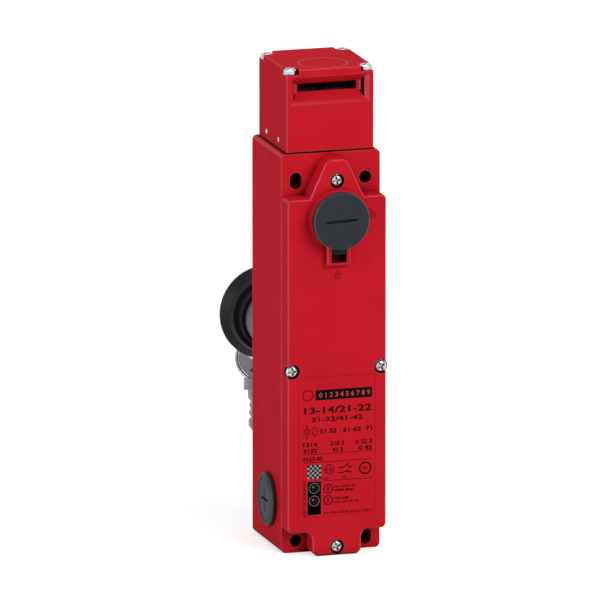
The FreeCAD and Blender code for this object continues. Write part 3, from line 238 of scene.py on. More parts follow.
def red_paint(name="red_paint", seam=None, hollow=(0.35, 0.8), throat=None):
    """Satin powder coat: deep red, fine orange peel, edges paler partly from wear and partly as painted
    highlight, glossier on bevels and round edges, and painted shade in gaps and holes.

    seam gives a centre in metres and a radius in millimetres, at which the paint ends in a dark ring.
    hollow gives the depths at which the painted shade of a gap starts and is full.
    throat gives two corners in millimetres of a space inside which the walls get painted shade."""
    finish = Finish(name, Specular_IOR_Level=0.0, Coat_Roughness=0.12)
    spot = finish.place()
    cloud = finish.noise(spot, 0.05, 3.0)
    peel = finish.noise(spot, 2.6, 2.0, 0.6)
    grain = finish.noise(spot, 9.0, 1.0)
    edge = finish.edge(0.5)
    colour = finish.mix(cloud.step(0.25, 0.75), DEEP_RED, FULL_RED)
    # Paler towards sharp edges: partly paint worn thin, partly painted highlight.
    colour = finish.mix(edge * 0.35, colour, WEAR_AND_HIGHLIGHT_RED)
    # Painted shade: darker with depth in gaps and holes, and dark all through the throat.
    deep = finish.depth(7.0)
    shade = deep.step(*hollow)
    if throat:
        inside = 1
        for part, low, high in zip(finish.axes(spot), *throat):
            inside = (part > low) * (part < high) * inside
        shade = shade.at_least(inside)
    colour = finish.mix(shade * 0.97, colour, SHADED_RED)
    if seam:
        centre, radius = seam
        across, along, _ = finish.axes(finish.place(centre))
        far = (across * across + along * along) ** 0.5
        colour = finish.mix(far.step(radius - 0.3, radius - 0.15) * 0.9, colour, SEAM_RED)
    finish.feed("Base Color", colour)
    finish.feed("Coat Weight", (0.035 + finish.slant().at_least(edge) * 0.9) * (1 - deep.step(0.4, 0.8)))
    finish.feed("Roughness", 0.36 + peel * 0.1 + cloud * 0.06)
    finish.feed("Normal", finish.bump(peel + grain * 0.35, 0.006, finish.rounded(0.25)))
    return finish.material


def plastic(name, colour, roughness, shine=0.3, bevel_highlight=0.0):
    """Moulded plastic with a fine grain: colour and gloss drift a little over the piece, and edges are paler,
    partly as wear and partly as painted highlight. Gaps and holes get painted shade.

    The last argument is how far bevels and round edges go towards the pale colour, as painted highlight."""
    finish = Finish(name, Specular_IOR_Level=shine)
    spot = finish.place()
    cloud = finish.noise(spot, 0.12, 3.0)
    grain = finish.noise(spot, 5.0, 3.0, 0.6)
    dark, light = (tuple(c * drift for c in colour) for drift in (0.88, 1.12))
    wear_and_highlight = tuple(min(1, c * 2.4 + 0.02) for c in colour)
    # Pale colour on edges and bevels: partly wear, partly painted highlight.
    pale = finish.edge(0.3) * 0.45
    if bevel_highlight:
        pale = pale.at_least(finish.slant() * bevel_highlight)
    body = finish.mix(pale, finish.mix(cloud.step(0.2, 0.8), dark, light), wear_and_highlight)
    # Painted shade: darker deep in gaps and holes.
    finish.feed("Base Color", finish.mix(finish.depth(3.0).step(0.4, 0.8) * 0.9, body, SHADED_PLASTIC))
    finish.feed("Roughness", roughness - 0.06 + grain * 0.12)
    finish.feed("Normal", finish.bump(grain, 0.006, finish.rounded(0.15)))
    return finish.material


def metal(name, colour, roughness, recess_shade_reach=1.6):
    """Bare or plated metal: fine wear, bright edges, and painted shade in recesses, judged over the last
    argument in millimetres.
    """
    finish = Finish(name, Metallic=1.0)
    spot = finish.place()
    wear = finish.noise(spot, 3.0, 4.0, 0.65)
    cloud = finish.noise(spot, 0.3, 2.0)
    body = finish.mix(cloud.step(0.2, 0.8), tuple(c * 0.88 for c in colour), colour)
    body = finish.mix(finish.edge(0.25) * 0.5, body, BRIGHT_METAL)
    # Painted shade: darker deep in recesses, such as the screws' crosses.
    finish.feed("Base Color", finish.mix(finish.depth(recess_shade_reach).step(0.18, 0.5) * 0.96, body, SHADED_METAL))
    finish.feed("Roughness", (roughness - 0.05 + wear * 0.1 + cloud * 0.04).at_least(0.03))
    finish.feed("Normal", finish.bump(wear, 0.003, finish.rounded(0.1)))
    return finish.material


def ink(name, colour, shine):
    """Printing ink: a thin film whose cover varies a little."""
    finish = Finish(name, Specular_IOR_Level=shine)
    cover = finish.noise(finish.place(), 2.2, 3.0)
    thin = tuple(c * 1.6 + 0.004 for c in colour)
    finish.feed("Base Color", finish.mix(cover.step(0.3, 0.8), colour, thin))
    finish.feed("Roughness", 0.55 + cover * 0.15)
    return finish.material


def lens(name, colour, glow, centre):
    """Dark coloured cap, as over an unlit lamp, with a painted highlight: a small paler spot up and to the left
    of its middle.
    """
    finish = Finish(name, Specular_IOR_Level=0.04)
    ripple = finish.noise(finish.place(), 1.5, 2.0)
    # Painted highlight: a paler spot up and to the left of the cap's middle.
    across, _, up = finish.axes(finish.place(centre))
    off = ((across + 0.55) * (across + 0.55) + (up - 0.5) * (up - 0.5)) ** 0.5
    body = finish.mix(ripple.step(0.35, 0.75), colour, glow)
    finish.feed("Base Color", finish.mix((1 - off.step(0.1, 0.4)) * 0.7, body, PAINTED_GLINT))
    finish.feed("Roughness", 0.25 + ripple * 0.1)
    finish.feed("Normal", finish.bump(ripple, 0.02, finish.rounded(0.1)))
    return finish.material


FINISHES = {
    "red_paint": red_paint(),
    "black_plastic": plastic("black_plastic", (0.0125, 0.011, 0.011), 0.4, shine=0.11),
    "grey_plastic": plastic("grey_plastic", (0.0225, 0.026, 0.0305), 0.5, shine=0.1, bevel_highlight=0.8),
    "sleeve_grey": metal("sleeve_grey", (0.15, 0.16, 0.145), 0.45),
    "rubber": plastic("rubber", (0.004, 0.004, 0.004), 0.6, shine=0.06),
    "nickel": metal("nickel", (0.5, 0.51, 0.54), 0.16, recess_shade_reach=1.1),
    "steel": metal("steel", (0.45, 0.45, 0.47), 0.3),
    "key_metal": metal("key_metal", (0.25, 0.255, 0.275), 0.34),
    "board": plastic("board", (0.01, 0.08, 0.03), 0.4),
    "green_lens": lens("green_lens", (0.001, 0.006, 0.002), (0.002, 0.016, 0.005), middle("green_lens")),
    "red_lens": lens("red_lens", (0.012, 0.001, 0.002), (0.03, 0.002, 0.004), middle("red_lens")),
}
PANEL = plastic("panel_black", (0.0006, 0.0006, 0.0006), 0.6, shine=0.01)
LUG = plastic("lug_black", (0.004, 0.0045, 0.005), 0.35, shine=0.12)
BLACK_INK = ink("black_ink", (0.0025, 0.0022, 0.0022), 0.01)
PALE_INK = ink("pale_ink", (0.2, 0.21, 0.21), 0.1)
RED_INK = ink("red_ink", (0.42, 0.05, 0.06), 0.02)
SHADE_INK = ink("shade_ink", (0.12, 0.003, 0.006), 0.02)


def head_paint():
    """Red paint of the head, with painted shade on the walls of the space behind the tongue's way in. That space
    is given by its distances from the head's sides, front, rear and top."""
    low, high = (corner / MM for corner in BOX["head_housing"])
    throat_low = (low[0] + 5.3, low[1] + 6.2, high[2] - 14.5)
    throat_high = (high[0] - 5.3, high[1] - 2, high[2] - 4)
    return red_paint("head_paint", hollow=(0.7, 0.95), throat=(throat_low, throat_high))


def dress(thing, finish):
    """Gives a piece its one finish."""
    thing.data.materials.clear()
    thing.data.materials.append(finish)


for node, slot in SLOTS.items():
    dress(frame["nodes"][node], FINISHES[slot])
dress(frame["nodes"]["indicator_window"], PANEL)
dress(frame["nodes"]["release_lug"], LUG)
dress(frame["nodes"]["head_housing"], head_paint())
dress(frame["nodes"]["head_top_plug"], red_paint("top_plug_paint", (middle("head_top_plug"), 10.1)))


# ---------------------------------------------------------------- surfaces

FACING = {  # across, up and outward, for a face that looks that way
    "front": np.array([[1, 0, 0], [0, 0, 1], [0, -1, 0]], float),
    "left": np.array([[0, -1, 0], [0, 0, 1], [-1, 0, 0]], float),
    "right": np.array([[0, 1, 0], [0, 0, 1], [1, 0, 0]], float),
    "top": np.array([[1, 0, 0], [0, 1, 0], [0, 0, 1]], float),
}


def round_angles(count):
    """So many angles, evenly once round."""
    return np.linspace(0, TAU, count, endpoint=False)


def soft_step(value, low, high):
    """0 below low, 1 above high, and share^2 * (3 - 2 * share) between."""
    share = np.clip((value - low) / (high - low), 0, 1)
    return share * share * (3 - 2 * share)


def sheet(points, wrap_rows=False, wrap_cols=False):
    """Points of a rows x cols grid, and the quads between neighbours, as two flat arrays."""
    rows, cols = points.shape[:2]
    i, j = np.meshgrid(np.arange(rows - (not wrap_rows)), np.arange(cols - (not wrap_cols)), indexing="ij")
    up, side = (i + 1) % rows, (j + 1) % cols
    quads = np.stack([i * cols + j, i * cols + side, up * cols + side, up * cols + j], axis=-1)
    return points.reshape(-1, 3), quads.reshape(-1, 4)


def cluster(sheets):
    """Several sheets as one: their points in a row, their quads counted on."""
    starts = np.cumsum([0] + [len(points) for points, _ in sheets[:-1]])
    return (np.concatenate([points for points, _ in sheets]),
            np.concatenate([quads + start for (_, quads), start in zip(sheets, starts)]))


def stand(name, mesh, finish, body):
    """Puts a mesh into the scene, dressed, on its body."""
    made = bpy.data.objects.new(name, mesh)
    bpy.context.scene.collection.objects.link(made)
    dress(made, finish)
    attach(made, body)
    return made


def piece(name, sheets, finish, body, stands_for=(), slot=None, sharp=40, closed=True):
    """One object from its sheets: doubled points at poles and seams are welded, and the faces of a closed one
    look outward. sharp is the angle in degrees from which an edge stays hard."""
    points, quads = cluster(sheets)
    mesh = bpy.data.meshes.new(name)
    mesh.from_pydata(points.tolist(), [], quads.tolist())
    work = bmesh.new()
    work.from_mesh(mesh)
    bmesh.ops.remove_doubles(work, verts=work.verts, dist=1e-7)
    if closed:
        bmesh.ops.recalc_face_normals(work, faces=work.faces)
    work.to_mesh(mesh)
    work.free()
    mesh.shade_smooth()
    mesh.set_sharp_from_angle(angle=math.radians(sharp))
    made = stand(name, mesh, finish, body)
    if stands_for:
        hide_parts(*stands_for)
    return made


def relief_disc(centre, facing, radius, height, rim, rings=72, spokes=144):
    """A disc with a relief. Points lie at share^0.8 * radius on each spoke, raised by height(across, up), and
    the rim goes straight down by rim. Lengths in millimetres, centre in metres."""
    far, angle = np.meshgrid(np.linspace(0, 1, rings) ** 0.8 * radius, round_angles(spokes), indexing="ij")
    across, up = far * np.cos(angle), far * np.sin(angle)
    out = height(across, up)
    across, up = (np.concatenate([value, value[-1:], value[-1:] * 0]) for value in (across, up))
    foot = out[-1:] * 0 - rim
    local = np.stack([across, up, np.concatenate([out, foot, foot])], axis=-1) * MM
    return sheet(np.array(centre) + local @ FACING[facing], wrap_cols=True)


def lathe(centre, facing, profile, spokes=64):
    """A turned surface: each (radius, out) pair of the profile is carried once round the outward axis."""
    radius, out = np.hsplit(np.array(profile, float), 2)
    angle = round_angles(spokes)
    local = np.stack([radius * np.cos(angle), radius * np.sin(angle), out + 0 * angle], axis=-1) * MM
    return sheet(np.array(centre) + local @ FACING[facing], wrap_cols=True)


def wire_ring(path, thick, spokes=10):
    """A closed round wire: a circle of radius thick in millimetres, square to the path's direction, carried
    along its points."""
    ahead = np.roll(path, -1, axis=0) - np.roll(path, 1, axis=0)
    ahead /= np.linalg.norm(ahead, axis=1, keepdims=True)
    never_along = np.array([0.31, 0.95, 0.05])
    side = np.cross(ahead, never_along)
    side /= np.linalg.norm(side, axis=1, keepdims=True)
    lift = np.cross(side, ahead)
    angle = round_angles(spokes)[:, None]
    ring = np.cos(angle) * side[:, None] + np.sin(angle) * lift[:, None]
    return sheet(path[:, None] + ring * (thick * MM), wrap_rows=True, wrap_cols=True)


# ---------------------------------------------------------------- screws

def cross_head(radius, crown, turn, arm):
    """Relief of a cross recessed head: a flat crown whose edge falls away by crown, and two arms, turned by
    turn in radians, that widen and deepen towards a well in the middle."""
    reach, depth = 0.74, 1.15

    def height(across, up):
        far = np.hypot(across, up) / radius
        top = -crown * soft_step(far, 0.62, 1.0) ** 1.3 - 0.1 * far ** 2
        one = across * math.cos(turn) + up * math.sin(turn)
        two = up * math.cos(turn) - across * math.sin(turn)
        width = arm * (0.5 + 0.5 * np.clip(1 - far / reach, 0, 1))
        in_arm = 1 - soft_step(np.minimum(abs(one), abs(two)), width * 0.42, width * 0.62)
        in_reach = 1 - soft_step(far, reach * 0.8, reach)
        well = 1 - soft_step(far, 0.16, 0.32)
        return top - depth * np.maximum(in_arm * in_reach * (1 - 0.35 * far), well)
    return height


def screw_heads(name, node, places, facing, radius, rim, crown, turns, arm_share):
    """Cross recessed heads of one node, as one piece."""
    heads = [relief_disc(place, facing, radius, cross_head(radius, crown, turn, radius * arm_share), rim)
             for place, turn in zip(places, turns)]
    return piece(name, heads, FINISHES["nickel"], "housing", (node,), "nickel", sharp=50)


low, high = BOX["cover_screws"]
head_front = low[1]
side_head_radius, end_head_radius, side_head_height = 2.55 * MM, 2.7 * MM, 79.2 * MM
side_x, side_z = high[0] - side_head_radius, floor_z + side_head_height
low_z, high_z = low[2] + end_head_radius, high[2] - end_head_radius
cover_heads = [(0, high_z), (0, low_z), (-side_x, side_z), (side_x, side_z)]
screw_heads("cover_screw_heads", "cover_screws", [(x, head_front, z) for x, z in cover_heads], "front",
            radius=2.6, rim=1.9, crown=0.55, turns=(0.2, 0.35, 0.1, 0.5), arm_share=0.38)

low, high = BOX["head_screws"]
head_radius = 2.75 * MM
corners = [(x, y, high[2]) for x in (low[0] + head_radius, high[0] - head_radius)
           for y in (low[1] + head_radius, high[1] - head_radius)]
screw_heads("head_screw_heads", "head_screws", corners, "top",
            radius=2.75, rim=2.3, crown=0.5, turns=(0.75, 0.7, 0.85, 0.8), arm_share=0.52)


# ---------------------------------------------------------------- front release

RELEASE_RADIUS = 12.1


def release_relief(across, up):
    """Flat disc with a bevelled edge and a slit whose half width at x is 0.56 * (1 - (x / half)^2)^0.6 + 0.06.
    Its right half is shallower above the middle line."""
    far = np.hypot(across, up)
    tilt, half = math.radians(2.4), 7.15
    one = across * math.cos(tilt) + up * math.sin(tilt)
    two = up * math.cos(tilt) - across * math.sin(tilt)
    open_half = 0.56 * np.clip(1 - (one / half) ** 2, 0, 1) ** 0.6 + 0.06
    slit = (1 - soft_step(abs(two), open_half * 0.85, open_half * 1.1)) * (abs(one) < half)
    ramp = soft_step(one, 2.0, 7.0) * soft_step(two, -0.5, 0.5)
    bevel = soft_step(far, 11.5, RELEASE_RADIUS)
    return -0.42 * bevel - 0.05 * soft_step(far, 10.6, 11.5) - (1.4 - 0.9 * ramp) * slit


release = middle("release_disc")
release_front = (release[0], BOX["release_disc"][0][1], release[2])
piece("release_face",
      [relief_disc(release_front, "front", RELEASE_RADIUS, release_relief, 2.0, rings=150, spokes=220)],
      FINISHES["grey_plastic"], "release", ("release_disc",), "grey_plastic", sharp=35)


# ---------------------------------------------------------------- plugs

PLUG_RADIUS = 11.2


def plug_relief(across, up):
    """Rim with a groove and an edge that falls away, round a shallow dish with a cross of two slits."""
    far = np.hypot(across, up)
    rim = -0.45 * soft_step(far, 10.6, PLUG_RADIUS)
    groove = -0.35 * soft_step(far, 8.7, 9.1) * (1 - soft_step(far, 9.7, 10.1))
    dish = -0.12 * (1 - soft_step(far, 8.2, 8.7))
    upright = (1 - soft_step(abs(across), 0.28, 0.42)) * (abs(up) < 5.0)
    level = (1 - soft_step(abs(up), 0.38, 0.55)) * (abs(across) < 4.75)
    return rim + groove + dish - 0.9 * np.maximum(upright * 0.7, level)


for side, end in (("left", 0), ("right", 1)):
    node = side + "_plug"
    _, y, z = middle(node)
    face = relief_disc((BOX[node][end][0], y, z), side, PLUG_RADIUS, plug_relief, 1.5, rings=96, spokes=160)
    piece(side + "_plug_face", [face], FINISHES["grey_plastic"], "housing", (node,), "grey_plastic", sharp=35)


# ---------------------------------------------------------------- indicator window

window_left, window_right = (corner[0] / MM for corner in BOX["indicator_window"])
window_x = middle("indicator_window")[0] / MM


def lens_cap(x, height, radius=2.0):
    """Low dome: out = 0.25 * cos(quarter turn * share of the radius)."""
    share = np.linspace(0, 1, 14)
    dome = np.stack([share * radius, 0.25 * np.cos(share * TAU / 4)], axis=-1)
    foot = [(radius, -0.3), (0, -0.3)]
    return lathe(on_cover(x, height, 0.02), "front", np.concatenate([dome, foot]))


def lens_ring(x, height, radius=2.17):
    """Thin wire round a lens."""
    angle = round_angles(72)
    ring = np.stack([np.cos(angle), 0 * angle, np.sin(angle)], axis=-1) * radius * MM
    return wire_ring(on_cover(x, height, 0.03) + ring, 0.085)


for node in ("green_lens", "red_lens"):
    height = (middle(node)[2] - floor_z) / MM
    piece(node + "_cap", [lens_cap(window_x, height)], FINISHES[node], "housing", (node,), node)
    piece(node + "_ring", [lens_ring(window_x, height)], PALE_INK, "housing")


# ---------------------------------------------------------------- print: lines, numbers and signs

FILM = 0.03  # how far print stands off the face that carries it


def bar(x0, z0, x1, z1):
    """A filled oblong between two corners."""
    return [(x0, z0), (x1, z0)], [(x0, z1), (x1, z1)]


def stroke(points, width, closed=False):
    """A line of even width through the points: its two edges lie half the width to either side, mitred."""
    points = np.array(points, float)
    if closed:
        points = np.concatenate([points[-1:], points, points[:2]])
    step = np.diff(points, axis=0)
    step /= np.linalg.norm(step, axis=1, keepdims=True)
    normal = np.stack([-step[:, 1], step[:, 0]], axis=-1)
    mean = np.concatenate([normal[:1], normal[:-1] + normal[1:], normal[-1:]])
    mean /= np.maximum((mean ** 2).sum(axis=1, keepdims=True), 1e-9) ** 0.5
    own = np.concatenate([normal, normal[-1:]])
    reach = width / 2 / np.clip((mean * own).sum(axis=1, keepdims=True), 0.5, 1)
    left, right = points + mean * reach, points - mean * reach
    return (right[1:-1], left[1:-1]) if closed else (right, left)


def arc(x, z, radius, start, stop, count):
    """Points from start to stop, in degrees, on a circle round x and z."""
    angle = np.radians(np.linspace(start, stop, count))
    return np.stack([x + radius * np.cos(angle), z + radius * np.sin(angle)], axis=-1)


def circle(x, z, radius, width, count=36):
    """A closed ring of print."""
    return stroke(arc(x, z, radius, 0, 360 - 360 / count, count), width, True)


def rounded_frame(x0, z0, x1, z1, radius):
    """Outline of an oblong whose four corners are quarter circles."""
    left, right, foot, top = x0 + radius, x1 - radius, z0 + radius, z1 - radius
    centres = ((right, top), (left, top), (left, foot), (right, foot))
    return np.concatenate([arc(x, z, radius, 90 * turn, 90 * turn + 90, 8)
                           for turn, (x, z) in enumerate(centres)])


def printed(name, shapes, finish, proud=FILM):
    """Print on the cover's face: each shape is two rows of (x, height) points with a strip between them."""
    grids = [np.array(rows, float) for rows in shapes]
    strips = [sheet(on_cover(grid[..., 0], grid[..., 1], proud)) for grid in grids]
    made = piece(name, strips, finish, "housing", sharp=180, closed=False)
    if made.data.polygons[0].normal.y > 0:
        made.data.flip_normals()
    return made


def number_outline(name, text, size, weight):
    """Points of a text thickened by weight, as shares of its own width and height, and its faces."""
    curve = bpy.data.curves.new(name, "FONT")
    curve.body, curve.size, curve.offset, curve.resolution_u = text, size, weight, 2
    shape = bpy.data.objects.new(name, curve)
    mesh = bpy.data.meshes.new_from_object(shape)
    spots = np.empty(len(mesh.vertices) * 3)
    mesh.vertices.foreach_get("co", spots)
    spots = spots.reshape(-1, 3)[:, :2]
    faces = [tuple(polygon.vertices) for polygon in mesh.polygons]
    bpy.data.objects.remove(shape)
    bpy.data.curves.remove(curve)
    bpy.data.meshes.remove(mesh)
    return (spots - spots.min(axis=0)) / np.maximum(np.ptp(spots, axis=0), 1e-9), faces


def numerals(name, level_rows, finish, upright_rows=(), place=on_cover, proud=FILM, body="housing"):
    """Plain numbers as one mesh. Each row is (text, left, right, foot, height, weight) in millimetres: its
    outline is stretched to fill that box. Upright rows run from foot to top."""
    points, faces = [], []
    start = 0
    for upright, rows in ((False, level_rows), (True, upright_rows)):
        for text, left, right, foot, tall, weight in rows:
            wide = right - left
            share, own_faces = number_outline(name, text, 1.4 * (wide if upright else tall), weight)
            if upright:
                share = np.stack([1 - share[:, 1], share[:, 0]], axis=-1)
            points.append(place(left + share[:, 0] * wide, foot + share[:, 1] * tall, proud))
            faces += [tuple(corner + start for corner in face) for face in own_faces]
            start += len(share)
    mesh = bpy.data.meshes.new(name)
    mesh.from_pydata(np.concatenate(points).tolist(), [], faces)
    return stand(name, mesh, finish, body)


def contact_sign(x, z, opens):
    """Sign of a contact: two leads and a blade between them, set off the line where it is open at rest."""
    scale, width = 1.5, 0.42
    lines = [[(0, 0), (1.2, 0)], [(1.2, 0), (3.0, 0.9 if opens else 0.35)], [(2.8, 0), (4.0, 0)]]
    if not opens:
        lines.append([(2.8, 0), (2.8, 0.7)])
    return [stroke([(x + across * scale, z + up * scale) for across, up in line], width) for line in lines]


def lamp_sign(x, z):
    """Sign of a lamp: a ring crossed by two strokes, and a lead with a dotted end above and below."""
    arm, near, far = 0.85, 1.2, 2.6
    signs = [circle(x, z, 1.25, 0.24)]
    for way in (1, -1):
        signs += [stroke([(x - arm, z - way * arm), (x + arm, z + way * arm)], 0.22),
                  stroke([(x, z + way * near), (x, z + way * far)], 0.24),
                  circle(x, z + way * far, 0.16, 0.32, 12)]
    return signs


def coil_sign(x, z):
    """Sign of a coil: a box with a slanting stroke, and a lead above and below. z is the box's foot."""
    half, tall, lead = 1.1, 2.9, 1.2
    return [stroke(rounded_frame(x - half, z, x + half, z + tall, 0.1), 0.22, True),
            stroke([(x, z + tall), (x, z + tall + lead)], 0.22), stroke([(x, z), (x, z - lead)], 0.22),
            stroke([(x - half, z + 0.7), (x + half, z + 2.2)], 0.2)]


def padlock(x, z, tall, is_open):
    """Padlock sign: a body with a keyhole bar and a shackle that is shut, or lifted and turned aside."""
    half, grip, waist = tall * 0.25, tall * 0.15, z + tall * 0.5
    lift, aside, end = (0.78, tall * 0.31, 0.66) if is_open else (0.6, 0, 0.5)
    shackle = np.concatenate([[(x + grip - aside, waist)],
                              arc(x - aside, z + tall * lift, grip, 0, 180, 12),
                              [(x - grip - aside, z + tall * end)]])
    return [stroke(rounded_frame(x - half, z, x + half, waist, 0.25), 0.28, True), stroke(shackle, 0.28),
            bar(x - 0.14, z + tall * 0.14, x + 0.14, z + tall * 0.34)]


# ---------------------------------------------------------------- print: what the cover carries

check_foot, check_top, check_count = 33.3, 39.2, 6
cell = (window_right - window_left) / check_count
squares = [bar(window_left + cell * i, check_foot + cell * j,
               window_left + cell * (i + 1), check_foot + cell * (j + 1))
           for i in range(check_count) for j in range(check_count) if (i + j) % 2 == 0]
printed("plate_outline", [stroke(rounded_frame(-16.6, 17.0, 16.6, 76.4, 1.2), 0.1, True)], SHADE_INK)
printed("plate_bar", [bar(-9.3, 66.6, 15.1, 70.9)], BLACK_INK)
printed("plate_check_ground", [bar(window_left, check_foot, window_right, check_top)], BLACK_INK, 0.025)
printed("plate_check", squares, PALE_INK, 0.035)

RULES = ((-14.8, 43.6), (-14.8, 40.1), (-5.8, 32.0))
RINGS = ((-12.7, 68.8, 2.2, 0.35), (-3.9, 28.6, 1.85, 0.4), (-3.9, 23.8, 1.85, 0.4), (-3.4, 36.9, 1.9, 0.3),
         (12.2, 36.4, 2.4, 0.6))
signs = [bar(left, foot, 15.2, foot + 0.2) for left, foot in RULES]
signs += [circle(x, z, radius, width) for x, z, radius, width in RINGS]
signs += lamp_sign(-13.1, 53.3) + coil_sign(-9.7, 51.9)
signs += contact_sign(0.6, 37.4, True) + contact_sign(0.6, 35.2, False)
printed("plate_signs", signs, BLACK_INK)

PLATE_NUMBERS = [
    ("13-14/21-22", -14.2, 14.9, 60.9, 2.85, 0.09), ("31-32/41-42", -11.0, 11.1, 57.4, 2.0, 0.07),
    ("51 52", -7.4, -0.2, 52.3, 2.0, 0.08), ("61-62  71", 2.6, 15.2, 52.3, 2.0, 0.08),
    ("1314", -14.7, -8.6, 46.9, 1.9, 0.09), ("210 2", -3.0, 3.2, 46.9, 1.9, 0.09),
    ("0 22 3", 8.0, 15.2, 46.9, 1.9, 0.09), ("3132", -14.7, -8.6, 44.2, 1.9, 0.09),
    ("41 2", -2.1, 2.7, 44.2, 1.9, 0.09), ("0 42", 9.3, 15.2, 44.2, 1.9, 0.09),
    ("0123-45", -14.8, -6.3, 40.75, 1.85, 0.08),
    ("12", -4.6, -2.2, 36.2, 1.4, 0.05), ("34", 11.2, 13.2, 35.8, 1.3, 0.05),
    ("12-", -5.8, -3.2, 32.6, 0.95, 0.05), ("34", 2.4, 4.0, 32.7, 0.95, 0.05),
    ("1", -4.2, -3.6, 27.7, 1.8, 0.09), ("2", -4.5, -3.3, 22.9, 1.8, 0.06),
    ("111 2131 41", -1.2, 7.9, 28.9, 1.0, 0.05), ("1020 304", -1.2, 6.9, 27.3, 1.0, 0.07),
    ("120-340", -1.2, 5.0, 23.9, 1.0, 0.05), ("112. 213 14 15", -1.2, 9.0, 22.3, 1.0, 0.05),
    ("131 2141 32142 512 6 1-220 7", -5.7, 15.2, 17.85, 1.05, 0.04),
]
numerals("plate_numbers", PLATE_NUMBERS, BLACK_INK, [("131 23 31424151", -14.8, -13.6, 17.9, 14.6, 0.04)])
numerals("bar_numbers", [("0 1 2 3 4 5 6 7 8 9", -7.8, 14.3, 67.6, 2.2, 0.05)], RED_INK, proud=0.045)
printed("lock_signs", padlock(15.4, 142.7, 4.0, True) + padlock(0.2, 117.8, 4.0, False), SHADE_INK)


# ---------------------------------------------------------------- dark rings under the cover's screws: painted shade

def gap_shade_ring(x, z, radius=2.75, thick=0.38, behind=1.5):
    """Dark ring of round section that paints the shade in the gap round a screw head: its middle circle lies
    that far behind the front of the head at x and z.
    """
    angle = round_angles(48)
    local = np.stack([np.cos(angle) * radius, np.sin(angle) * radius, 0 * angle], axis=-1) * MM
    return wire_ring(np.array([x, head_front + behind * MM, z]) + local @ FACING["front"], thick)


# The rings are painted shade, dressed in the black rubber finish for its colour.
piece("cover_screw_gap_shade", [gap_shade_ring(x, z) for x, z in cover_heads],
      FINISHES["rubber"], "housing", slot="rubber")


# ---------------------------------------------------------------- spare key

bow_x, bow_y, _ = middle("spare_key")
KEY_BOW = np.array([bow_x, bow_y, BOX["spare_key"][1][2] - 11.0 * MM])
KEY_TURN = math.radians(16.9)
KEY_AXES = np.array([[math.cos(KEY_TURN), -math.sin(KEY_TURN), 0], [0, 0, 1],
                     [-math.sin(KEY_TURN), -math.cos(KEY_TURN), 0]])


def on_key(x, z, out):
    """Points of the key: x across and z up from the centre of its bow, out from its middle plane."""
    return KEY_BOW + np.stack([x * MM, z * MM, 0 * x + out * MM], axis=-1) @ KEY_AXES


def key_rim(radius, thick):
    """Raised line on the bow: a circle of round section."""
    angle = round_angles(160)
    return wire_ring(on_key(radius * np.cos(angle), radius * np.sin(angle), 1.5), thick)


def key_blade():
    """Blade and shoulder, laid round the solid's plainer ones: at each height a flat section between a toothed
    and a plain edge, whose corners are round because share^(2 / 0.3) + rise^(2 / 0.3) = 1."""
    height = np.array([-9.4, -14.0, -14.15, -17.6, -19.0, -20.4, -22.2, -24.0, -26.2, -27.0, -29.6, -32.1])
    toothed = np.array([7.3, 7.3, 5.6, 5.5, 4.4, 5.1, 4.5, 5.2, 4.1, 5.3, 5.3, 3.4])
    plain = np.array([5.85] * 2 + [4.5] * 9 + [3.0])
    thick = np.array([3.2] * 2 + [2.5] * 9 + [2.3])
    fine = np.linspace(height[0], height[-1], 110)
    toothed, plain, thick = (np.interp(-fine, -height, value)[:, None] for value in (toothed, plain, thick))
    angle = round_angles(40)[None, :]
    share, rise = (np.sign(wave) * abs(wave) ** 0.3 for wave in (np.cos(angle), np.sin(angle)))
    x = (plain - toothed) / 2 + share * (plain + toothed) / 2
    points = on_key(x, fine[:, None] + 0 * x, 0) + (rise * thick / 2 * MM)[..., None] * KEY_AXES[2]
    first, last = (row.mean(axis=1, keepdims=True) + 0 * row for row in (points[:1], points[-1:]))
    return sheet(np.concatenate([first, points, last]), wrap_cols=True)


# The raised rims are dressed in the brighter nickel rather than the key's metal: a painted highlight on them.
piece("spare_key_rims", [key_rim(10.65, 0.3), key_rim(9.5, 0.22)],
      FINISHES["nickel"], "spare", slot="nickel")
piece("spare_key_blade", [key_blade()], FINISHES["key_metal"], "spare", slot="key_metal")
# The bow's stamped number is drawn as a black film: painted shade of the stamped strokes.
numerals("spare_key_number", [("45", -4.6, -1.6, -6.6, 2.2, 0.05)], BLACK_INK,
         place=on_key, proud=1.62, body="spare")


# ---------------------------------------------------------------- stage, light, camera

FLOOR_SHADE = 0.62
WORLD_LEVEL = 0.42


def background_share(tree):
    """1 for a ray from the camera, off a glossy face or through a clear one, 0 for a ray that only lights."""
    path = tree.nodes.new("ShaderNodeLightPath")
    total = path.outputs["Is Camera Ray"]
    for kind in ("Is Glossy Ray", "Is Transmission Ray"):
        step = tree.nodes.new("ShaderNodeMath")
        step.operation = "ADD"
        tree.links.new(total, step.inputs[0])
        tree.links.new(path.outputs[kind], step.inputs[1])
        total = step.outputs[0]
    return total


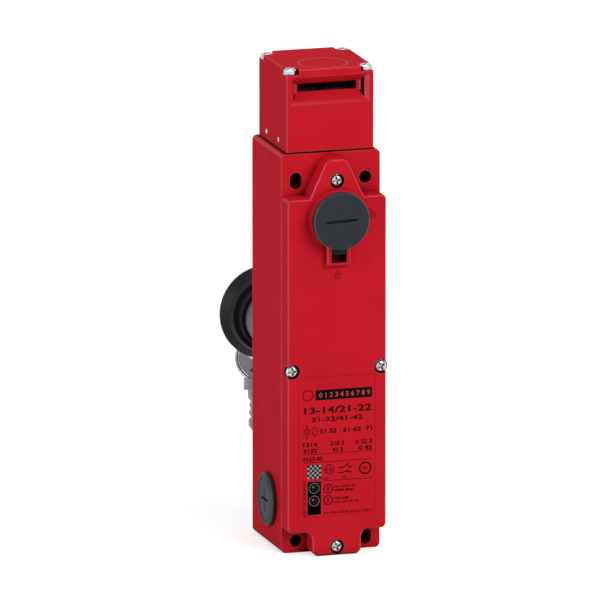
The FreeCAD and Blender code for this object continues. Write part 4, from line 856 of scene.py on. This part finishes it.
def floor_finish():
    """Matt pale grey that keeps the shadow, with as much glow added where it is the background."""
    material = bpy.data.materials.new("pale_floor")
    material.use_nodes = True
    tree = material.node_tree
    tree.nodes.clear()
    matt = tree.nodes.new("ShaderNodeBsdfDiffuse")
    matt.inputs["Color"].default_value = (FLOOR_SHADE, FLOOR_SHADE, FLOOR_SHADE, 1)
    strength = tree.nodes.new("ShaderNodeMath")
    strength.operation = "MULTIPLY"
    tree.links.new(background_share(tree), strength.inputs[0])
    strength.inputs[1].default_value = FLOOR_SHADE
    glow = tree.nodes.new("ShaderNodeEmission")
    tree.links.new(strength.outputs[0], glow.inputs["Strength"])
    both = tree.nodes.new("ShaderNodeAddShader")
    tree.links.new(matt.outputs[0], both.inputs[0])
    tree.links.new(glow.outputs[0], both.inputs[1])
    out = tree.nodes.new("ShaderNodeOutputMaterial")
    tree.links.new(both.outputs[0], out.inputs["Surface"])
    return material


def pale_floor(reach=14.0):
    """Square floor just under the switch."""
    low = cad_box[0][2] - 0.2 * MM
    mesh = bpy.data.meshes.new("floor")
    mesh.from_pydata([(-reach, -reach, low), (reach, -reach, low), (reach, reach, low), (-reach, reach, low)],
                     [], [(0, 1, 2, 3)])
    mesh.materials.append(floor_finish())
    floor = bpy.data.objects.new("floor", mesh)
    bpy.context.scene.collection.objects.link(floor)


def studio_world():
    """White where it is the background, WORLD_LEVEL where it lights the switch."""
    world = bpy.data.worlds.new("studio")
    bpy.context.scene.world = world
    world.use_nodes = True
    tree = world.node_tree
    level = tree.nodes.new("ShaderNodeMix")
    tree.links.new(background_share(tree), level.inputs[0])
    level.inputs[2].default_value = WORLD_LEVEL
    level.inputs[3].default_value = 1.0
    sky = tree.nodes["Background"]
    tree.links.new(level.outputs[0], sky.inputs["Strength"])
    sky.inputs["Color"].default_value = (1, 1, 1, 1)


def soft_light(name, place, size, power, aim=(0, -0.02, 0.01)):
    """Oblong lamp at place, width and height in size, that looks at aim."""
    lamp = bpy.data.lights.new(name, "AREA")
    lamp.shape = "RECTANGLE"
    lamp.size, lamp.size_y = size
    lamp.energy = power
    thing = bpy.data.objects.new(name, lamp)
    thing.location = place
    thing.rotation_euler = (Vector(aim) - Vector(place)).to_track_quat("-Z", "Y").to_euler()
    bpy.context.scene.collection.objects.link(thing)


def long_camera(azimuth, elevation, distance, focal_mm, aim_height, shift_right, shift_up):
    """Camera that looks from azimuth and elevation, in degrees, at a point of the switch's axis, with its aim
    shifted to the right and up in its own view."""
    turn, lift = math.radians(azimuth), math.radians(elevation)
    forward = Vector((math.sin(turn) * math.cos(lift), math.cos(turn) * math.cos(lift), -math.sin(lift)))
    right = Vector((math.cos(turn), -math.sin(turn), 0))
    camera = bpy.data.objects.new("camera", bpy.data.cameras.new("camera"))
    camera.data.sensor_width = 36
    camera.data.lens = focal_mm
    camera.data.clip_end = 60
    aim = Vector((0, 0, aim_height)) + right * shift_right + right.cross(forward) * shift_up
    camera.location = aim - forward * distance
    camera.rotation_euler = forward.to_track_quat("-Z", "Y").to_euler()
    bpy.context.scene.collection.objects.link(camera)
    bpy.context.scene.camera = camera


pale_floor()
studio_world()
soft_light("key_light", (0.9, -1.9, 1.1), (1.2, 1.2), 34)
soft_light("left_strip", (-1.75, -0.53, 0.1), (0.28, 1.8), 18)
soft_light("top_light", (0.1, 0.4, 1.9), (1.2, 1.2), 9)
long_camera(azimuth=16.865, elevation=12.862, distance=7.4, focal_mm=1052.8,
            aim_height=0.0185, shift_right=0.00087, shift_up=-0.00383)
bpy.context.scene.view_settings.view_transform = "Standard"
